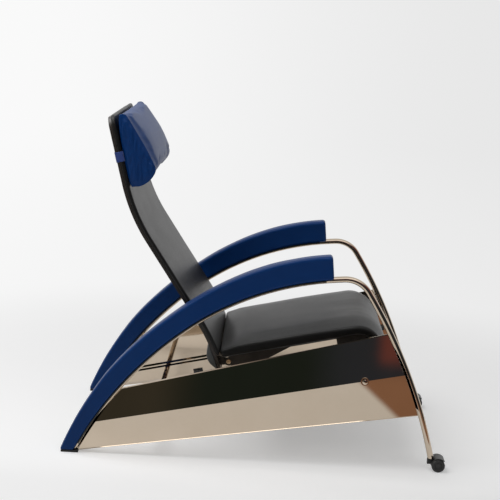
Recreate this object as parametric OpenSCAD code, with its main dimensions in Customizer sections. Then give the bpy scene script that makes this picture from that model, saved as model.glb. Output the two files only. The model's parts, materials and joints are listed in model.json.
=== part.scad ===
// Reclining lounge armchair on a bent tube frame.
// Sizes in millimetres, +X to the front, +Y to the sitter's left, +Z up.
// The origin lies on the floor, midway between the rear end of the arm pads and the front of the castors.
// Paths are lists of [radius, turn, length]. A positive turn bends to the right, radius 0 is a straight run.

/* [Frame tube] */
// Outer diameter of the frame tube
tube_d = 18; // [16:0.5:20]
// Wall of the frame tube
tube_wall = 1.5; // [1:0.25:2.5]
// Distance from the middle plane to the axis of each frame tube
tube_y = 304; // [298:1:312]
// Distance behind the origin at which the tube's axis meets the foot
foot_x = 532; // [526:1:538]
// Height of the tube's axis at the foot
foot_z = 9; // [9:0.5:11]
// Steepness of the tube at the foot, degrees
foot_angle = 63.7; // [63:0.1:64.4]
// Radius of the rear stretch of the arch
arch_rear_r = 1100; // [1080:5:1120]
// Turn of the rear stretch, degrees
arch_rear_turn = 26.3; // [25.8:0.1:26.8]
// Radius of the arm stretch of the arch
arch_arm_r = 850; // [840:1:860]
// Turn of the arm stretch, degrees
arch_arm_turn = 32; // [31.5:0.1:32.5]
// Straight run between the arm stretch and the front bend
arm_run = 18; // [14:1:24]
// Radius of the front bend
bend_r = 80; // [74:1:88]
// Turn of the front bend, degrees
bend_turn = 62; // [61:0.5:63]
// Radius of the bowed front leg
leg_r = 1615; // [1580:5:1650]
// Height of the leg's lower end above the floor
leg_end_z = 37; // [36:0.5:39]

/* [Arm pads] */
// Width of an arm pad
pad_w = 50; // [46:1:52]
// Thickness of an arm pad at its front end
pad_t = 70; // [64:1:74]
// Length of padded tube, measured along the tube from the foot
pad_len = 968; // [950:1:975]
// Rounding of the pad's long edges
pad_edge_r = 8; // [5:0.5:11]
// Thickness of the strip under the pad
strip_t = 4; // [3:0.25:5]
// Width of the strip under the pad
strip_w = 46; // [40:1:49]
// How far the strip reaches below the tube's axis
strip_low = 2; // [1:0.25:3]
// Thickness of the strip's saddle over the tube
saddle_t = 2; // [1.5:0.25:2.5]
// Height of the foot glide
glide_h = 6; // [5:0.5:8]
// Width of the foot glide
glide_w = 40; // [34:1:46]

/* [Side girders] */
// Height of the girder's top fold at the origin
flank_top_z = 305; // [301:0.5:308]
// Height of the girder's ridge at the origin
flank_ridge_z = 202; // [196:1:208]
// Height of the girder's bottom fold at the origin
flank_bottom_z = 93.5; // [90:0.5:98]
// Distance from the middle plane to the top fold
flank_top_y = 298; // [297:0.5:299]
// How far the ridge stands out from the top fold
flank_ridge_out = 30; // [24:1:36]
// How far the bottom fold stands out from the top fold
flank_bottom_out = 26; // [20:1:30]
// Height of the slanted return from the bottom fold to the wall
flank_return_h = 18; // [14:1:22]
// Thickness of the girder's sheet
sheet_t = 2; // [1.5:0.25:2.5]
// Height of the lip along the top of the wall
rim_h = 3; // [2:0.25:4]
// Distance behind the origin at which all folds meet
flank_apex_x = 2100; // [2060:10:2140]
// Depth below the floor at which all folds meet
flank_apex_z = 258; // [254:1:262]

/* [Guide rails] */
// Slope of the guide rails, degrees
rail_angle = 13.3; // [13:0.1:13.6]
// Height of the rail's middle line at the origin
rail_z = 180; // [176:1:184]
// Outer height of the rail
rail_h = 14; // [13.5:0.5:17]
// Depth of the rail from the wall
rail_depth = 14; // [13:0.5:16]
// Sheet of the rail
rail_t = 1.5; // [1.25:0.25:2]
// Gap between the rail's rear end and the arch
rail_gap = 48; // [30:1:70]
// Length of the rubber stop at the rail's front end
stop_len = 26; // [24:0.5:26]
// Height of the rubber stop
stop_h = 13; // [12:0.5:16]
// Gap between the rubber stop and the leg
stop_gap = 14.4; // [10:0.1:14.5]

/* [Cross tubes] */
// Diameter of the rear cross tube
rear_cross_d = 18; // [14:0.5:20]
// Rear cross tube, distance behind the origin
rear_cross_x = 311; // [305:1:320]
// Rear cross tube, drop of its axis below the rails' middle line
rear_cross_drop = 18.5; // [18.5:0.5:24]
// Diameter of the front cross tube
front_cross_d = 18; // [16:1:20]
// Front cross tube, distance ahead of the origin
front_cross_x = 296; // [285:1:305]
// Front cross tube, height above the floor
front_cross_z = 184; // [180:1:188]

/* [Fastenings] */
// Rosette of the girder bolt, diameter
rosette_d = 24; // [20:1:28]
// Rosette of the girder bolt, thickness
rosette_t = 3; // [2:0.5:4]
// Cap of the girder bolt, diameter
bolt_cap_d = 15; // [12:1:18]
// Cap of the girder bolt, height
bolt_cap_h = 8; // [6:1:10]
// Shank of the girder bolt, diameter
bolt_shank_d = 8; // [6:1:10]
// Girder bolt, distance ahead of the origin
bolt_x = 318; // [310:1:326]
// Small bracket on the wall, size along the wall
bracket_len = 32; // [26:1:36]
// Small bracket on the wall, height
bracket_h = 14; // [12:1:18]
// Small bracket on the wall, depth
bracket_depth = 12; // [10:1:14]
// Small bracket on the wall, distance behind the origin
bracket_x = 203; // [195:1:210]
// Small bracket on the wall, drop of its middle below the rail's middle line
bracket_drop = 41; // [36:1:46]

/* [Castors] */
// Diameter of a castor wheel
wheel_d = 40; // [38:1:42]
// Width of a castor wheel
wheel_w = 17; // [15:0.5:18]
// Gap between the two wheels of a castor
wheel_gap = 12; // [11:0.5:14]
// Distance from the swivel axis to the wheel axis
castor_trail = 24; // [23.5:0.5:26]
// Diameter of the wheel axle
wheel_axle_d = 6; // [5:0.5:8]
// Diameter of the swivel stem
stem_d = 8; // [7:0.5:9]
// Length of the stem inside the leg
stem_len = 16; // [12:0.5:18]
// Thickness of the hood over the wheels
hood_t = 2; // [1.5:0.25:2.5]
// Gap between the wheels and the hood
hood_gap = 2; // [1.5:0.25:2.5]

/* [Seat] */
// Half the width of the seat cushion
seat_half_w = 248; // [238:1:250]
// Height of the seat shell's top above the rail's middle line
seat_base_h = 134.3; // [131:0.1:137]
// Rear end of the seat, behind the origin along the rail
seat_rear = 77; // [70:0.5:77.5]
// Straight length of the seat
seat_run = 407; // [398:1:412]
// Lean of the cushion's rear end against the backrest, degrees
seat_rear_lean = 10; // [6:0.5:10.5]
// Inner radius of the seat's front roll
seat_roll_r = 45; // [40:1:50]
// Turn of the seat's front roll, degrees
seat_roll_turn = 82; // [78:0.5:84]
// Drop of the seat's front below the roll
seat_drop = 104; // [90:1:108]
// Thickness of the seat cushion at its edge
seat_t = 30; // [26:1:34]
// Crown of the seat cushion
seat_crown = 10; // [6:1:14]
// Thickness of the seat shell
seat_shell_t = 6; // [4:0.5:8]
// Distance from the cushion's rear end to the shell's
shell_inset = 17; // [16:0.5:24]
// Distance from the cushion's side to the shell's edge
shell_overhang = 24; // [20:1:26]
// Distance from the cushion's side to the middle of a side plate
plate_inset = 27; // [26.5:0.5:30]
// Thickness of a side plate
side_plate_t = 4; // [3:0.5:5]
// Height of the rear plate between the hinge and the hanger
plate_h = 30; // [26:1:34]
// Place along the rail at which the rear plate tapers out
plate_x = 130; // [110:1:150]
// Place of the rear axle along the rail
rear_axle_x = 20; // [14:1:26]
// Place of the front axle along the rail
front_axle_x = 285; // [283:1:285]
// Diameter of the axles
axle_d = 10; // [9:0.5:12]
// Diameter of the axle ends in the shoes
axle_end_d = 6; // [5:0.5:7]
// Length of a slide shoe
shoe_len = 30; // [26:1:30]
// Width of the hanger round the rear axle
hanger_w = 36; // [32:1:42]
// How far the plates reach below the axles
plate_drop = 12; // [10:0.5:14]
// Rear edge of the front cheek along the rail
cheek_x = 270; // [266:1:272]

/* [Backrest] */
// Half the width of the backrest pad
back_half_w = 250; // [240:1:252]
// Distance of the backrest's lower end behind the hinge axis
back_set = 18.3; // [17:0.1:20]
// Drop of the backrest's lower end below the hinge axis
back_drop = 22; // [18:0.5:24]
// Direction of the backrest at its lower end, degrees
back_angle = 108; // [107:0.1:109]
// Radius of the lumbar curve
lumbar_r = 611; // [590:1:630]
// Turn of the lumbar curve, degrees
lumbar_turn = 16.2; // [15.8:0.1:16.6]
// Straight stretch of the backrest
back_run = 279; // [270:1:285]
// Radius of the shoulder curve
shoulder_r = 536; // [520:1:550]
// Turn of the shoulder curve, degrees
shoulder_turn = 19.6; // [19.2:0.1:20]
// Straight top stretch of the backrest
back_top_run = 202; // [196:1:208]
// Full thickness of the backrest
back_t = 22; // [20:0.5:24]
// Thickness of the backrest's board
board_t = 9; // [8:0.5:10]
// Rounding of the backrest's top corners
back_corner_r = 35; // [30:1:45]
// Place of the lower end of the backrest's pad along the board
pad_start = 48; // [44:1:60]
// Depth of the bolster behind the backrest's lower end
bolster_t = 23; // [18:1:26]
// Height of the bolster
bolster_h = 92; // [84:1:96]
// Distance from the cushion's rear end forward to the hinge axis, along the rail
hinge_set = 14.88; // [14.5:0.02:15.5]
// Drop of the hinge axis below the top of the seat shell
hinge_drop = 18.91; // [18.5:0.01:19.5]
// Diameter of the hinge pins
hinge_pin_d = 8; // [7:0.5:9]
// Diameter of the hinge eyes
hinge_eye_d = 20; // [18:0.5:21]

/* [Headrest] */
// Half the width of the headrest
head_half_w = 245; // [235:1:249]
// Height of the headrest along the backrest
head_h = 215; // [205:1:222]
// Depth of the headrest's thick lower part
head_depth = 86; // [78:1:90]
// Crown of the headrest over its width
head_crown = 9; // [6:1:12]
// Width of the strap
strap_w = 30; // [26:1:34]
// Thickness of the strap
strap_t = 1.6; // [1.2:0.1:2]
// Distance from the headrest's lower end to the strap's lower edge
strap_s = 81; // [76:1:88]
// Distance from the backrest's top down to the headrest's top
head_drop = 3.7; // [2:0.1:6]

/* [Hidden] */

$fn = 72;

// Running clearance of pins and shoes
fit = 0.06;
// Clearance between parts that slide past each other
slide_gap = 0.25;
// Clearance round a soft part
soft_gap = 0.3;
// Clearance of a welded or glued seam
weld_gap = 0.2;
// Overrun of every cut
over = 1;

tube_r = tube_d / 2;
quarter = 90;

// Half the distance between the middles of the two side plates
side_plate_y = seat_half_w - plate_inset;

// Colours
steel_colour = "silver";
blue_colour = "midnightblue";
black_colour = [0.12, 0.12, 0.12];

// Left normal of a heading, in the plane of X and Z
function left_of(h) = [-sin(h), cos(h)];
function ahead_of(h) = [cos(h), sin(h)];

// Place and heading after one path segment
function advance(st, s) = s[0] == 0
    ? [st[0] + s[2] * ahead_of(st[1]), st[1]]
    : let (side = sign(s[1]), c = st[0] - side * s[0] * left_of(st[1]), h = st[1] - s[1])
        [c + side * s[0] * left_of(h), h];
function segment_length(s) = s[0] == 0 ? s[2] : s[0] * abs(s[1]) * PI / 180;
function state_at(path, st, i) = i == 0 ? st : advance(state_at(path, st, i - 1), path[i - 1]);
function rest_of(list) = [for (i = [1:len(list) - 1]) list[i]];
function part_of(s, share) = [s[0], s[1] * share, s[2] * share];

// Place and heading at a distance along a path
function locate(path, st, d) =
    let (s = path[0], l = segment_length(s))
    d <= l || len(path) == 1 ? advance(st, part_of(s, d / l))
        : locate(rest_of(path), advance(st, s), d - l);
function length_before(path, i) = i == 0 ? 0 : length_before(path, i - 1) + segment_length(path[i - 1]);
function path_length(path) = length_before(path, len(path));
// Distances along a path, with a count of steps for each segment
function stations(path, counts) = concat([0], [for (i = [0:len(path) - 1], k = [1:counts[i]])
    length_before(path, i) + segment_length(path[i]) * k / counts[i]]);

// Value at a share of the way through a list of shares
function blend_at(shares, t) =
    let (k = min(max(t, 0), 1) * (len(shares) - 1), i = min(floor(k), len(shares) - 2))
    shares[i] + (shares[i + 1] - shares[i]) * (k - i);

// Sweep of a flat profile along a path. The profile's x points to the left of the heading,
// its y across the chair. Every second segment is a hair slimmer and reaches a little into its neighbours.
seam_lap = 0.3;
seam_gap = 0.1;

module sweep(path, st) {
    for (i = [0:len(path) - 1]) {
        s = path[i];
        at = state_at(path, st, i);
        $slim = i % 2 * seam_gap;
        reach = i % 2 * seam_lap;
        if (s[0] == 0) {
            translate([at[0].x, 0, at[0].y]) rotate([0, -at[1], 0]) translate([-reach, 0, 0])
                rotate([quarter, 0, quarter]) linear_extrude(s[2] + reach * 2) mirror([1, -1, 0]) children();
        } else {
            side = sign(s[1]);
            c = at[0] - side * s[0] * left_of(at[1]);
            more = reach / s[0] * 180 / PI;
            from = side > 0 ? at[1] + quarter - s[1] : at[1] - quarter;
            translate([c.x, 0, c.y]) rotate([quarter, 0, 0]) rotate([0, 0, from - more])
                rotate_extrude(angle = abs(s[1]) + more * 2) translate([s[0], 0])
                if (side > 0) children(); else mirror([1, 0]) children();
        }
    }
}

module band_profile(from, to, half_w) {
    translate([from + $slim, -half_w + $slim]) square([to - from - $slim * 2, (half_w - $slim) * 2]);
}

function arc_points(c, r, from, to, n) =
    [for (i = [0:n]) let (a = from + (to - from) * i / n) c + r * [cos(a), sin(a)]];

// Cylinder that lies across the chair, its middle at y
module cross_cylinder(d, len, y = 0) {
    translate([0, y, 0]) rotate([quarter, 0, 0]) cylinder(d = d, h = len, center = true);
}

// Closed skin over rings of points, all rings with the same number of points
module skin(rings) {
    n = len(rings[0]);
    last = (len(rings) - 1) * n;
    points = [for (r = rings) each r];
    sides = [for (i = [0:len(rings) - 2], j = [0:n - 1], k = [0, 1])
        let (a = i * n + j, b = i * n + (j + 1) % n)
        k == 0 ? [a, b, a + n] : [b, b + n, a + n]];
    caps = [[for (j = [n - 1:-1:0]) j], [for (j = [0:n - 1]) last + j]];
    polyhedron(points, concat(sides, caps), convexity = 6);
}

module on_left(side) {
    if (side > 0) children(); else mirror([0, 1, 0]) children();
}

// Frame tube: the arch, and a bowed leg that ends at its own height above the floor
arch_path = [[arch_rear_r, arch_rear_turn, 0], [arch_arm_r, arch_arm_turn, 0], [0, 0, arm_run],
    [bend_r, bend_turn, 0]];
frame_start = [[-foot_x, foot_z], foot_angle];
arch_c = frame_start[0] - arch_rear_r * left_of(foot_angle);
leg_top = state_at(arch_path, frame_start, len(arch_path));
leg_c = leg_top[0] - leg_r * left_of(leg_top[1]);
function leg_heading(z) = -acos((z - leg_c.y) / leg_r);
function leg_state(z) = [leg_c + leg_r * left_of(leg_heading(z)), leg_heading(z)];
leg_cut = tube_r / 2;
frame_path = concat(arch_path, [[leg_r, leg_top[1] - leg_heading(leg_end_z - leg_cut), 0]]);
swivel_x = leg_state(leg_end_z + stem_len / 2)[0].x;

module below_leg() {
    translate([0, -tube_d, leg_end_z - tube_d * 2]) cube([foot_x * 2, tube_d * 2, tube_d * 2]);
}

module frame_tube(side) {
    color(steel_colour) translate([0, side * tube_y, 0]) difference() {
        sweep(frame_path, frame_start) circle(r = tube_r - $slim);
        sweep(frame_path, frame_start) circle(r = tube_r - tube_wall - $slim);
        translate([-foot_x, 0, glide_h - tube_d]) cube([tube_d * 4, tube_d * 2, tube_d * 2], center = true);
        below_leg();
    }
}

module castor_sleeve(side) {
    from = leg_state(leg_end_z + stem_len + over);
    color(steel_colour) translate([0, side * tube_y, 0]) difference() {
        sweep([[leg_r, from[1] - leg_heading(leg_end_z - leg_cut), 0]], from)
            circle(r = tube_r - tube_wall - fit);
        translate([swivel_x, 0, 0]) cylinder(d = stem_d + fit * 2, h = leg_end_z + stem_len * 2);
        below_leg();
    }
}

// Arm pad and its strip. The strip is a plate with a saddle over the tube
pad_path = [frame_path[0], frame_path[1]];
strip_start = strip_w / 2;
strip_path = [[arch_rear_r, arch_rear_turn - strip_start * 180 / PI / arch_rear_r, 0],
    [arch_arm_r, (pad_len - segment_length(frame_path[0]) - strip_start) * 180 / PI / arch_arm_r, 0]];
saddle_r = tube_r + saddle_t;
pad_low = strip_t - strip_low + soft_gap;
pad_rings = 30;
// Thickness of the pad along its length, as shares of its front thickness
pad_t_shares = [0.51, 0.60, 0.68, 0.76, 0.79, 0.80, 0.81, 0.84, 0.89, 0.95, 0.985, 1, 1];
// Outline of half the pad's section: share of the half width, share of the thickness
pad_side_shares = [[0.86, 0], [0.95, 0.10], [0.985, 0.35], [1, 0.62], [0.985, 0.84], [0.90, 0.95], [0.70, 0.99],
    [0.35, 1]];
// Steps that round the pad's two ends: share of the rounding, share of the section left
pad_end_shares = [[0, 0.86], [0.35, 0.95], [1, 1]];
// Groove over the saddle: angle of its middle facet's edge, and the points down each side
groove_turn = 10;
groove_steps = 3;
groove_r = (saddle_r + soft_gap) / cos(groove_turn);

function pad_section(place, lean, w, t, shrink) =
    let (h = place[1], low = pad_low + t / 2 * (1 - shrink), open = acos(low / groove_r),
        groove = [for (i = [0:groove_steps]) let (a = groove_turn + (open - groove_turn) * i / groove_steps)
            groove_r * [sin(a), cos(a)]],
        side = [for (q = pad_side_shares) [q.x * w / 2 * shrink, low + q.y * t * shrink]],
        half = concat(groove, side),
        full = concat(half, [for (i = [len(half) - 1:-1:0]) [-half[i].x, half[i].y]]))
    [for (q = full) let (p = place[0] + q.y * left_of(h) - q.y * lean * ahead_of(h)) [p.x, q.x, p.y]];

module arm_pad(side) {
    lean_run = pad_len / 6;
    end_lean = 1 / tan(foot_angle);
    rear = (glide_h + soft_gap - foot_z) / sin(foot_angle);
    run = pad_len - rear - pad_edge_r * 2;
    steps = concat(
        [for (e = pad_end_shares) [rear + e.x * pad_edge_r, e.y]],
        [for (i = [1:pad_rings - 2]) [rear + pad_edge_r + run * i / (pad_rings - 1), 1]],
        [for (i = [len(pad_end_shares) - 1:-1:0])
            [pad_len - pad_end_shares[i].x * pad_edge_r, pad_end_shares[i].y]]);
    color(blue_colour) translate([0, side * tube_y, 0]) skin([for (s = steps)
        pad_section(locate(pad_path, frame_start, s.x), end_lean * max(0, 1 - s.x / lean_run), pad_w,
            pad_t * blend_at(pad_t_shares, s.x / pad_len), s.y)]);
}

module pad_strip(side) {
    color(black_colour) translate([0, side * tube_y, 0])
        sweep(strip_path, locate(pad_path, frame_start, strip_start)) difference() {
            union() {
                band_profile(-strip_low, strip_t - strip_low, strip_w / 2);
                intersection() {
                    circle(r = saddle_r - $slim);
                    translate([strip_t / 2 - strip_low, -saddle_r]) square(saddle_r * 2);
                }
            }
            circle(r = tube_r + weld_gap + $slim);
        }
}

module foot_glide(side) {
    reach = (pad_low + pad_t * pad_t_shares[0]) / sin(foot_angle);
    color(black_colour) translate([-foot_x - reach + over, side * tube_y - glide_w / 2, 0])
        cube([reach + tube_r, glide_w, glide_h]);
}

// Side girder
function fold_point(out, z0, x) =
    let (k = (x + flank_apex_x) / flank_apex_x)
    [x, flank_top_y + out * k, (z0 + flank_apex_z) * k - flank_apex_z];

module panel(out_a, z_a, out_b, z_b) {
    x0 = -foot_x - tube_d;
    x1 = foot_x;
    a0 = fold_point(out_a, z_a, x0);
    a1 = fold_point(out_a, z_a, x1);
    b0 = fold_point(out_b, z_b, x0);
    b1 = fold_point(out_b, z_b, x1);
    n = cross(a1 - a0, b0 - a0);
    outer = [a0, a1, b1, b0];
    points = concat(outer, [for (p = outer) p - n / norm(n) * sheet_t]);
    polyhedron(points, [[3, 2, 1, 0], [4, 5, 6, 7], [1, 5, 4, 0], [2, 6, 5, 1], [3, 7, 6, 2], [0, 4, 7, 3]]);
}

// Region between the arch and the leg, out to a distance inside the tube's axis
module inside_frame(inset, from, to) {
    translate([0, to, 0]) rotate([quarter, 0, 0]) linear_extrude(to - from) intersection() {
        translate(arch_c) circle(r = arch_rear_r - inset, $fn = 180);
        translate(leg_c) circle(r = leg_r - inset, $fn = 180);
    }
}

bolt_at = fold_point(flank_ridge_out, flank_ridge_z, bolt_x);

module flank_shell(side) {
    return_z = flank_bottom_z + flank_return_h;
    color(steel_colour) on_left(side) difference() {
        intersection() {
            union() {
                panel(0, flank_top_z, flank_ridge_out, flank_ridge_z);
                panel(flank_ridge_out, flank_ridge_z, flank_bottom_out, flank_bottom_z);
                panel(flank_bottom_out, flank_bottom_z, 0, return_z);
            }
            inside_frame(tube_r + weld_gap, flank_top_y, flank_top_y + flank_ridge_out * 2);
        }
        translate(bolt_at) cross_cylinder(bolt_shank_d + fit * 2, flank_ridge_out * 2);
    }
}

module flank_wall(side) {
    x0 = -foot_x - tube_d;
    x1 = foot_x;
    t0 = fold_point(0, flank_top_z, x0);
    t1 = fold_point(0, flank_top_z, x1);
    b0 = fold_point(0, flank_bottom_z + flank_return_h, x0);
    b1 = fold_point(0, flank_bottom_z + flank_return_h, x1);
    color(steel_colour) on_left(side) difference() {
        intersection() {
            translate([0, flank_top_y, 0]) rotate([quarter, 0, 0]) linear_extrude(sheet_t)
                polygon([[x0, t0.z + rim_h], [x1, t1.z + rim_h], [x1, b1.z], [x0, b0.z]]);
            inside_frame(tube_r + weld_gap, flank_top_y - sheet_t * 2, flank_top_y + sheet_t);
        }
        translate([bolt_at.x, flank_top_y, bolt_at.z]) cross_cylinder(bolt_shank_d + fit * 2, sheet_t * 4);
    }
}

module in_rail_frame() {
    translate([0, 0, rail_z]) rotate([0, -rail_angle, 0]) children();
}

wall_y = flank_top_y - sheet_t;
rail_in_y = wall_y - rail_depth;
rail_mouth = axle_end_d + slide_gap * 4;

// Place on the rail's middle line at which it meets a circle, ahead or behind
function rail_reach(c, r, side) =
    let (d = [0, rail_z] - c, b = d * ahead_of(rail_angle))
    side * sqrt(b * b - d * d + r * r) - b;
rail_rear = -rail_reach(arch_c, arch_rear_r - tube_r - rail_gap, -1);
rail_front = rail_reach(leg_c, leg_r - tube_r - stop_gap, 1) - stop_len;

module guide_rail(side) {
    pin_d = rail_t * 2.5;
    rail_len = rail_rear + rail_front;
    color(steel_colour) on_left(side) in_rail_frame() {
        difference() {
            translate([-rail_rear, rail_in_y, -rail_h / 2]) cube([rail_len, rail_depth, rail_h]);
            translate([-rail_rear - over, rail_in_y + rail_t, -rail_h / 2 + rail_t])
                cube([rail_len + over * 2, rail_depth - rail_t * 2, rail_h - rail_t * 2]);
            translate([-rail_rear - over, rail_in_y - over, -rail_mouth / 2])
                cube([rail_len + over * 2, rail_t + over * 2, rail_mouth]);
        }
        translate([rear_axle_x - shoe_len / 2 - slide_gap - pin_d / 2, wall_y - rail_depth / 2, 0])
            cylinder(d = pin_d, h = rail_h - rail_t * 2, center = true);
    }
}

module rail_stop(side) {
    color(black_colour) on_left(side) in_rail_frame()
        translate([rail_front, rail_in_y - rail_t, -stop_h / 2]) cube([stop_len, rail_depth + rail_t, stop_h]);
}

module wall_bracket(side) {
    plate_t = bracket_depth / 4;
    boss_share = 0.7;
    boss_d = bracket_h * boss_share;
    z = rail_z - bracket_x * tan(rail_angle) - bracket_drop;
    color(steel_colour) on_left(side) translate([-bracket_x, wall_y, z]) rotate([0, -rail_angle, 0]) {
        translate([-bracket_len / 2, -plate_t, -bracket_h / 2]) cube([bracket_len, plate_t, bracket_h]);
        translate([0, -(bracket_depth + plate_t) / 2, 0]) cross_cylinder(boss_d, bracket_depth - plate_t);
    }
}

module ridge_bolt(side) {
    shank_r = bolt_shank_d / 2;
    face_y = fold_point(flank_ridge_out, flank_ridge_z, bolt_x + rosette_d / 2).y + fit;
    shank = face_y - wall_y;
    cap_r = bolt_cap_d / 2;
    dome_r = bolt_cap_d;
    cap_top = rosette_t + bolt_cap_h;
    cap_steps = 6;
    color(steel_colour) on_left(side) translate([bolt_at.x, face_y, bolt_at.z]) rotate([-quarter, 0, 0])
        rotate_extrude() polygon(concat([[0, -shank], [shank_r, -shank], [shank_r, 0], [rosette_d / 2, 0],
            [rosette_d / 2, rosette_t], [cap_r, rosette_t]],
            arc_points([0, cap_top - dome_r], dome_r, quarter - asin(cap_r / dome_r), quarter, cap_steps)));
}

rear_cross_z = rail_z - rear_cross_x * tan(rail_angle) - rear_cross_drop;

module cross_tube(x, z, d) {
    color(steel_colour) translate([x, 0, z]) difference() {
        cross_cylinder(d, wall_y * 2);
        cross_cylinder(d - tube_wall * 2, wall_y * 2 + over * 2);
    }
}

// Castors
wheel_z = wheel_d / 2;
wheel_x = swivel_x + castor_trail;
hood_in = wheel_z + hood_gap;
castor_w = wheel_gap + wheel_w * 2;

module castor_housing(side) {
    web_w = wheel_gap - slide_gap * 4;
    web_r = hood_in + hood_t / 2;
    hub_share = 0.6;
    hub_d = wheel_d * hub_share;
    neck_h = leg_end_z - slide_gap - wheel_z;
    hood_from = 40;
    // The hood ends clear of the leg, whichever way the castor points
    hood_rear = castor_trail - tube_r - hood_gap * 2;
    hood_turn = quarter + asin(hood_rear / hood_in) - hood_from;
    color(black_colour) translate([0, side * tube_y, 0]) difference() {
        union() {
            translate([wheel_x, web_w / 2, wheel_z]) rotate([quarter, 0, 0]) linear_extrude(web_w) difference() {
                union() {
                    circle(d = hub_d);
                    intersection() {
                        circle(r = web_r);
                        translate([-web_r, 0]) square([web_r + hood_in * cos(hood_from), web_r]);
                    }
                    translate([-castor_trail - stem_d, 0]) square([castor_trail, neck_h]);
                }
                translate([-castor_trail * 2, neck_h]) square([castor_trail * 2 - hood_rear, web_r]);
            }
            translate([wheel_x, 0, wheel_z]) rotate([quarter, 0, 0]) rotate([0, 0, hood_from])
                rotate_extrude(angle = hood_turn) translate([hood_in, -castor_w / 2]) square([hood_t, castor_w]);
            translate([swivel_x, 0, wheel_z]) cylinder(d = stem_d, h = neck_h + slide_gap + stem_len);
        }
        translate([wheel_x, 0, wheel_z]) cross_cylinder(wheel_axle_d + fit, castor_w);
    }
}

module castor_axle(side) {
    color(black_colour) translate([wheel_x, side * tube_y, wheel_z])
        cross_cylinder(wheel_axle_d, castor_w - wheel_w / 6);
}

module castor_wheel(side, out) {
    edge = wheel_w / 6;
    half_w = wheel_w / 2;
    bore_r = wheel_axle_d / 2 + fit;
    hub_d = wheel_d / 2;
    color(black_colour) translate([wheel_x, side * tube_y + out * (wheel_gap + wheel_w) / 2, wheel_z])
        rotate([quarter, 0, 0]) rotate_extrude() difference() {
            polygon([[bore_r, -half_w], [wheel_z - edge, -half_w], [wheel_z, edge - half_w],
                [wheel_z, half_w - edge], [wheel_z - edge, half_w], [bore_r, half_w]]);
            for (s = [-1, 1]) translate([hub_d / 2, s * half_w]) circle(d = edge);
        }
}

// Seat, in the rail's own frame
seat_path = [[0, 0, seat_run], [seat_roll_r, seat_roll_turn, 0], [0, 0, seat_drop]];
seat_start = [[-seat_rear, seat_base_h], 0];
shell_path = [[0, 0, seat_run - shell_inset], seat_path[1], seat_path[2]];
shell_start = [[shell_inset - seat_rear, seat_base_h], 0];
plate_top = seat_base_h - seat_shell_t - fit;
hinge_in_rail = [hinge_set - seat_rear, seat_base_h - hinge_drop];
hinge = [0, rail_z] + hinge_in_rail.x * ahead_of(rail_angle) + hinge_in_rail.y * left_of(rail_angle);

module seat_sheet(side, outline) {
    color(black_colour) in_rail_frame() translate([0, side * side_plate_y + side_plate_t / 2, 0])
        rotate([quarter, 0, 0]) linear_extrude(side_plate_t) difference() {
            polygon(outline);
            translate([rear_axle_x, 0]) circle(d = axle_d + fit);
            translate([front_axle_x, 0]) circle(d = axle_d + fit);
            translate(hinge_in_rail) circle(d = hinge_pin_d + fit);
        }
}

// Rear plate, with the hinge eye and the hanger round the rear axle
module seat_plate(side) {
    eye_r = plate_top - hinge_in_rail.y;
    plate_low = plate_top - plate_h;
    hanger_r = hanger_w / 2;
    bend_steps = 16;
    seat_sheet(side, concat(arc_points(hinge_in_rail, eye_r, quarter, quarter * 3, bend_steps),
        [[rear_axle_x - hanger_r, plate_low]],
        arc_points([rear_axle_x, hanger_r - plate_drop], hanger_r, quarter * 2, quarter * 4, bend_steps),
        [[rear_axle_x + hanger_r, plate_low], [plate_x, plate_top]]));
}

// Front cheek, which follows the front roll and holds the front axle
module seat_cheek(side) {
    roll_c = [seat_run - seat_rear, seat_base_h - seat_roll_r];
    roll_in = seat_roll_r - seat_shell_t - fit;
    roll_end = roll_c + roll_in * left_of(-seat_roll_turn);
    apron_run = (roll_end.y + plate_drop) / sin(seat_roll_turn);
    roll_steps = 10;
    seat_sheet(side, concat([[cheek_x, plate_top], [cheek_x, -plate_drop],
        roll_end + apron_run * ahead_of(-seat_roll_turn)],
        arc_points(roll_c, roll_in, quarter - seat_roll_turn, quarter, roll_steps)));
}

module seat_shell() {
    color(black_colour) in_rail_frame() sweep(shell_path, shell_start)
        band_profile(-seat_shell_t, -soft_gap / 2, seat_half_w - shell_overhang);
}

// Half of the seat cushion's section: share of the half width, share of the edge thickness, share of the crown
seat_side_shares = [[0.97, 0, 0], [0.985, 0.22, 0], [1, 0.55, 0], [0.99, 0.82, 0], [0.965, 0.95, 0.05],
    [0.90, 1, 0.22], [0.75, 1, 0.55], [0.50, 1, 0.83], [0.22, 1, 0.97]];
// Fullness along the seat cushion, as shares of its thickness
seat_full_shares = [0.80, 0.97, 1, 1, 1, 1, 0.98, 0.95, 0.90, 0.86, 0.82, 0.80, 0.78];
seat_end_share = 0.9;
seat_counts = [16, 14, 6];

function seat_half_ring(full) = [for (q = seat_side_shares)
    [q.x * seat_half_w, (q.y * seat_t + q.z * seat_crown) * full + soft_gap / 2]];

module seat_cushion() {
    l = path_length(seat_path);
    lean_run = seat_t * 4;
    lean = tan(seat_rear_lean);
    color([0.18, 0.18, 0.19]) in_rail_frame() skin([for (s = stations(seat_path, seat_counts))
        let (at = locate(seat_path, seat_start, s), room = min(1, min(s, l - s) / seat_t),
            end = seat_end_share + (1 - seat_end_share) * room,
            back = lean * max(0, 1 - s / lean_run),
            half = seat_half_ring(blend_at(seat_full_shares, s / l) * end),
            ring = concat(half, [for (k = [len(half) - 1:-1:0]) [-half[k].x, half[k].y]]))
        [for (q = ring) let (p = at[0] + q.y * left_of(at[1]) - q.y * back * ahead_of(at[1])) [p.x, q.x, p.y]]]);
}

module axle(u) {
    body_half = rail_in_y - slide_gap * 2;
    color(steel_colour) in_rail_frame() translate([u, 0, 0]) {
        cross_cylinder(axle_d, body_half * 2);
        cross_cylinder(axle_end_d, (wall_y - rail_t - slide_gap * 4) * 2);
    }
}

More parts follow.
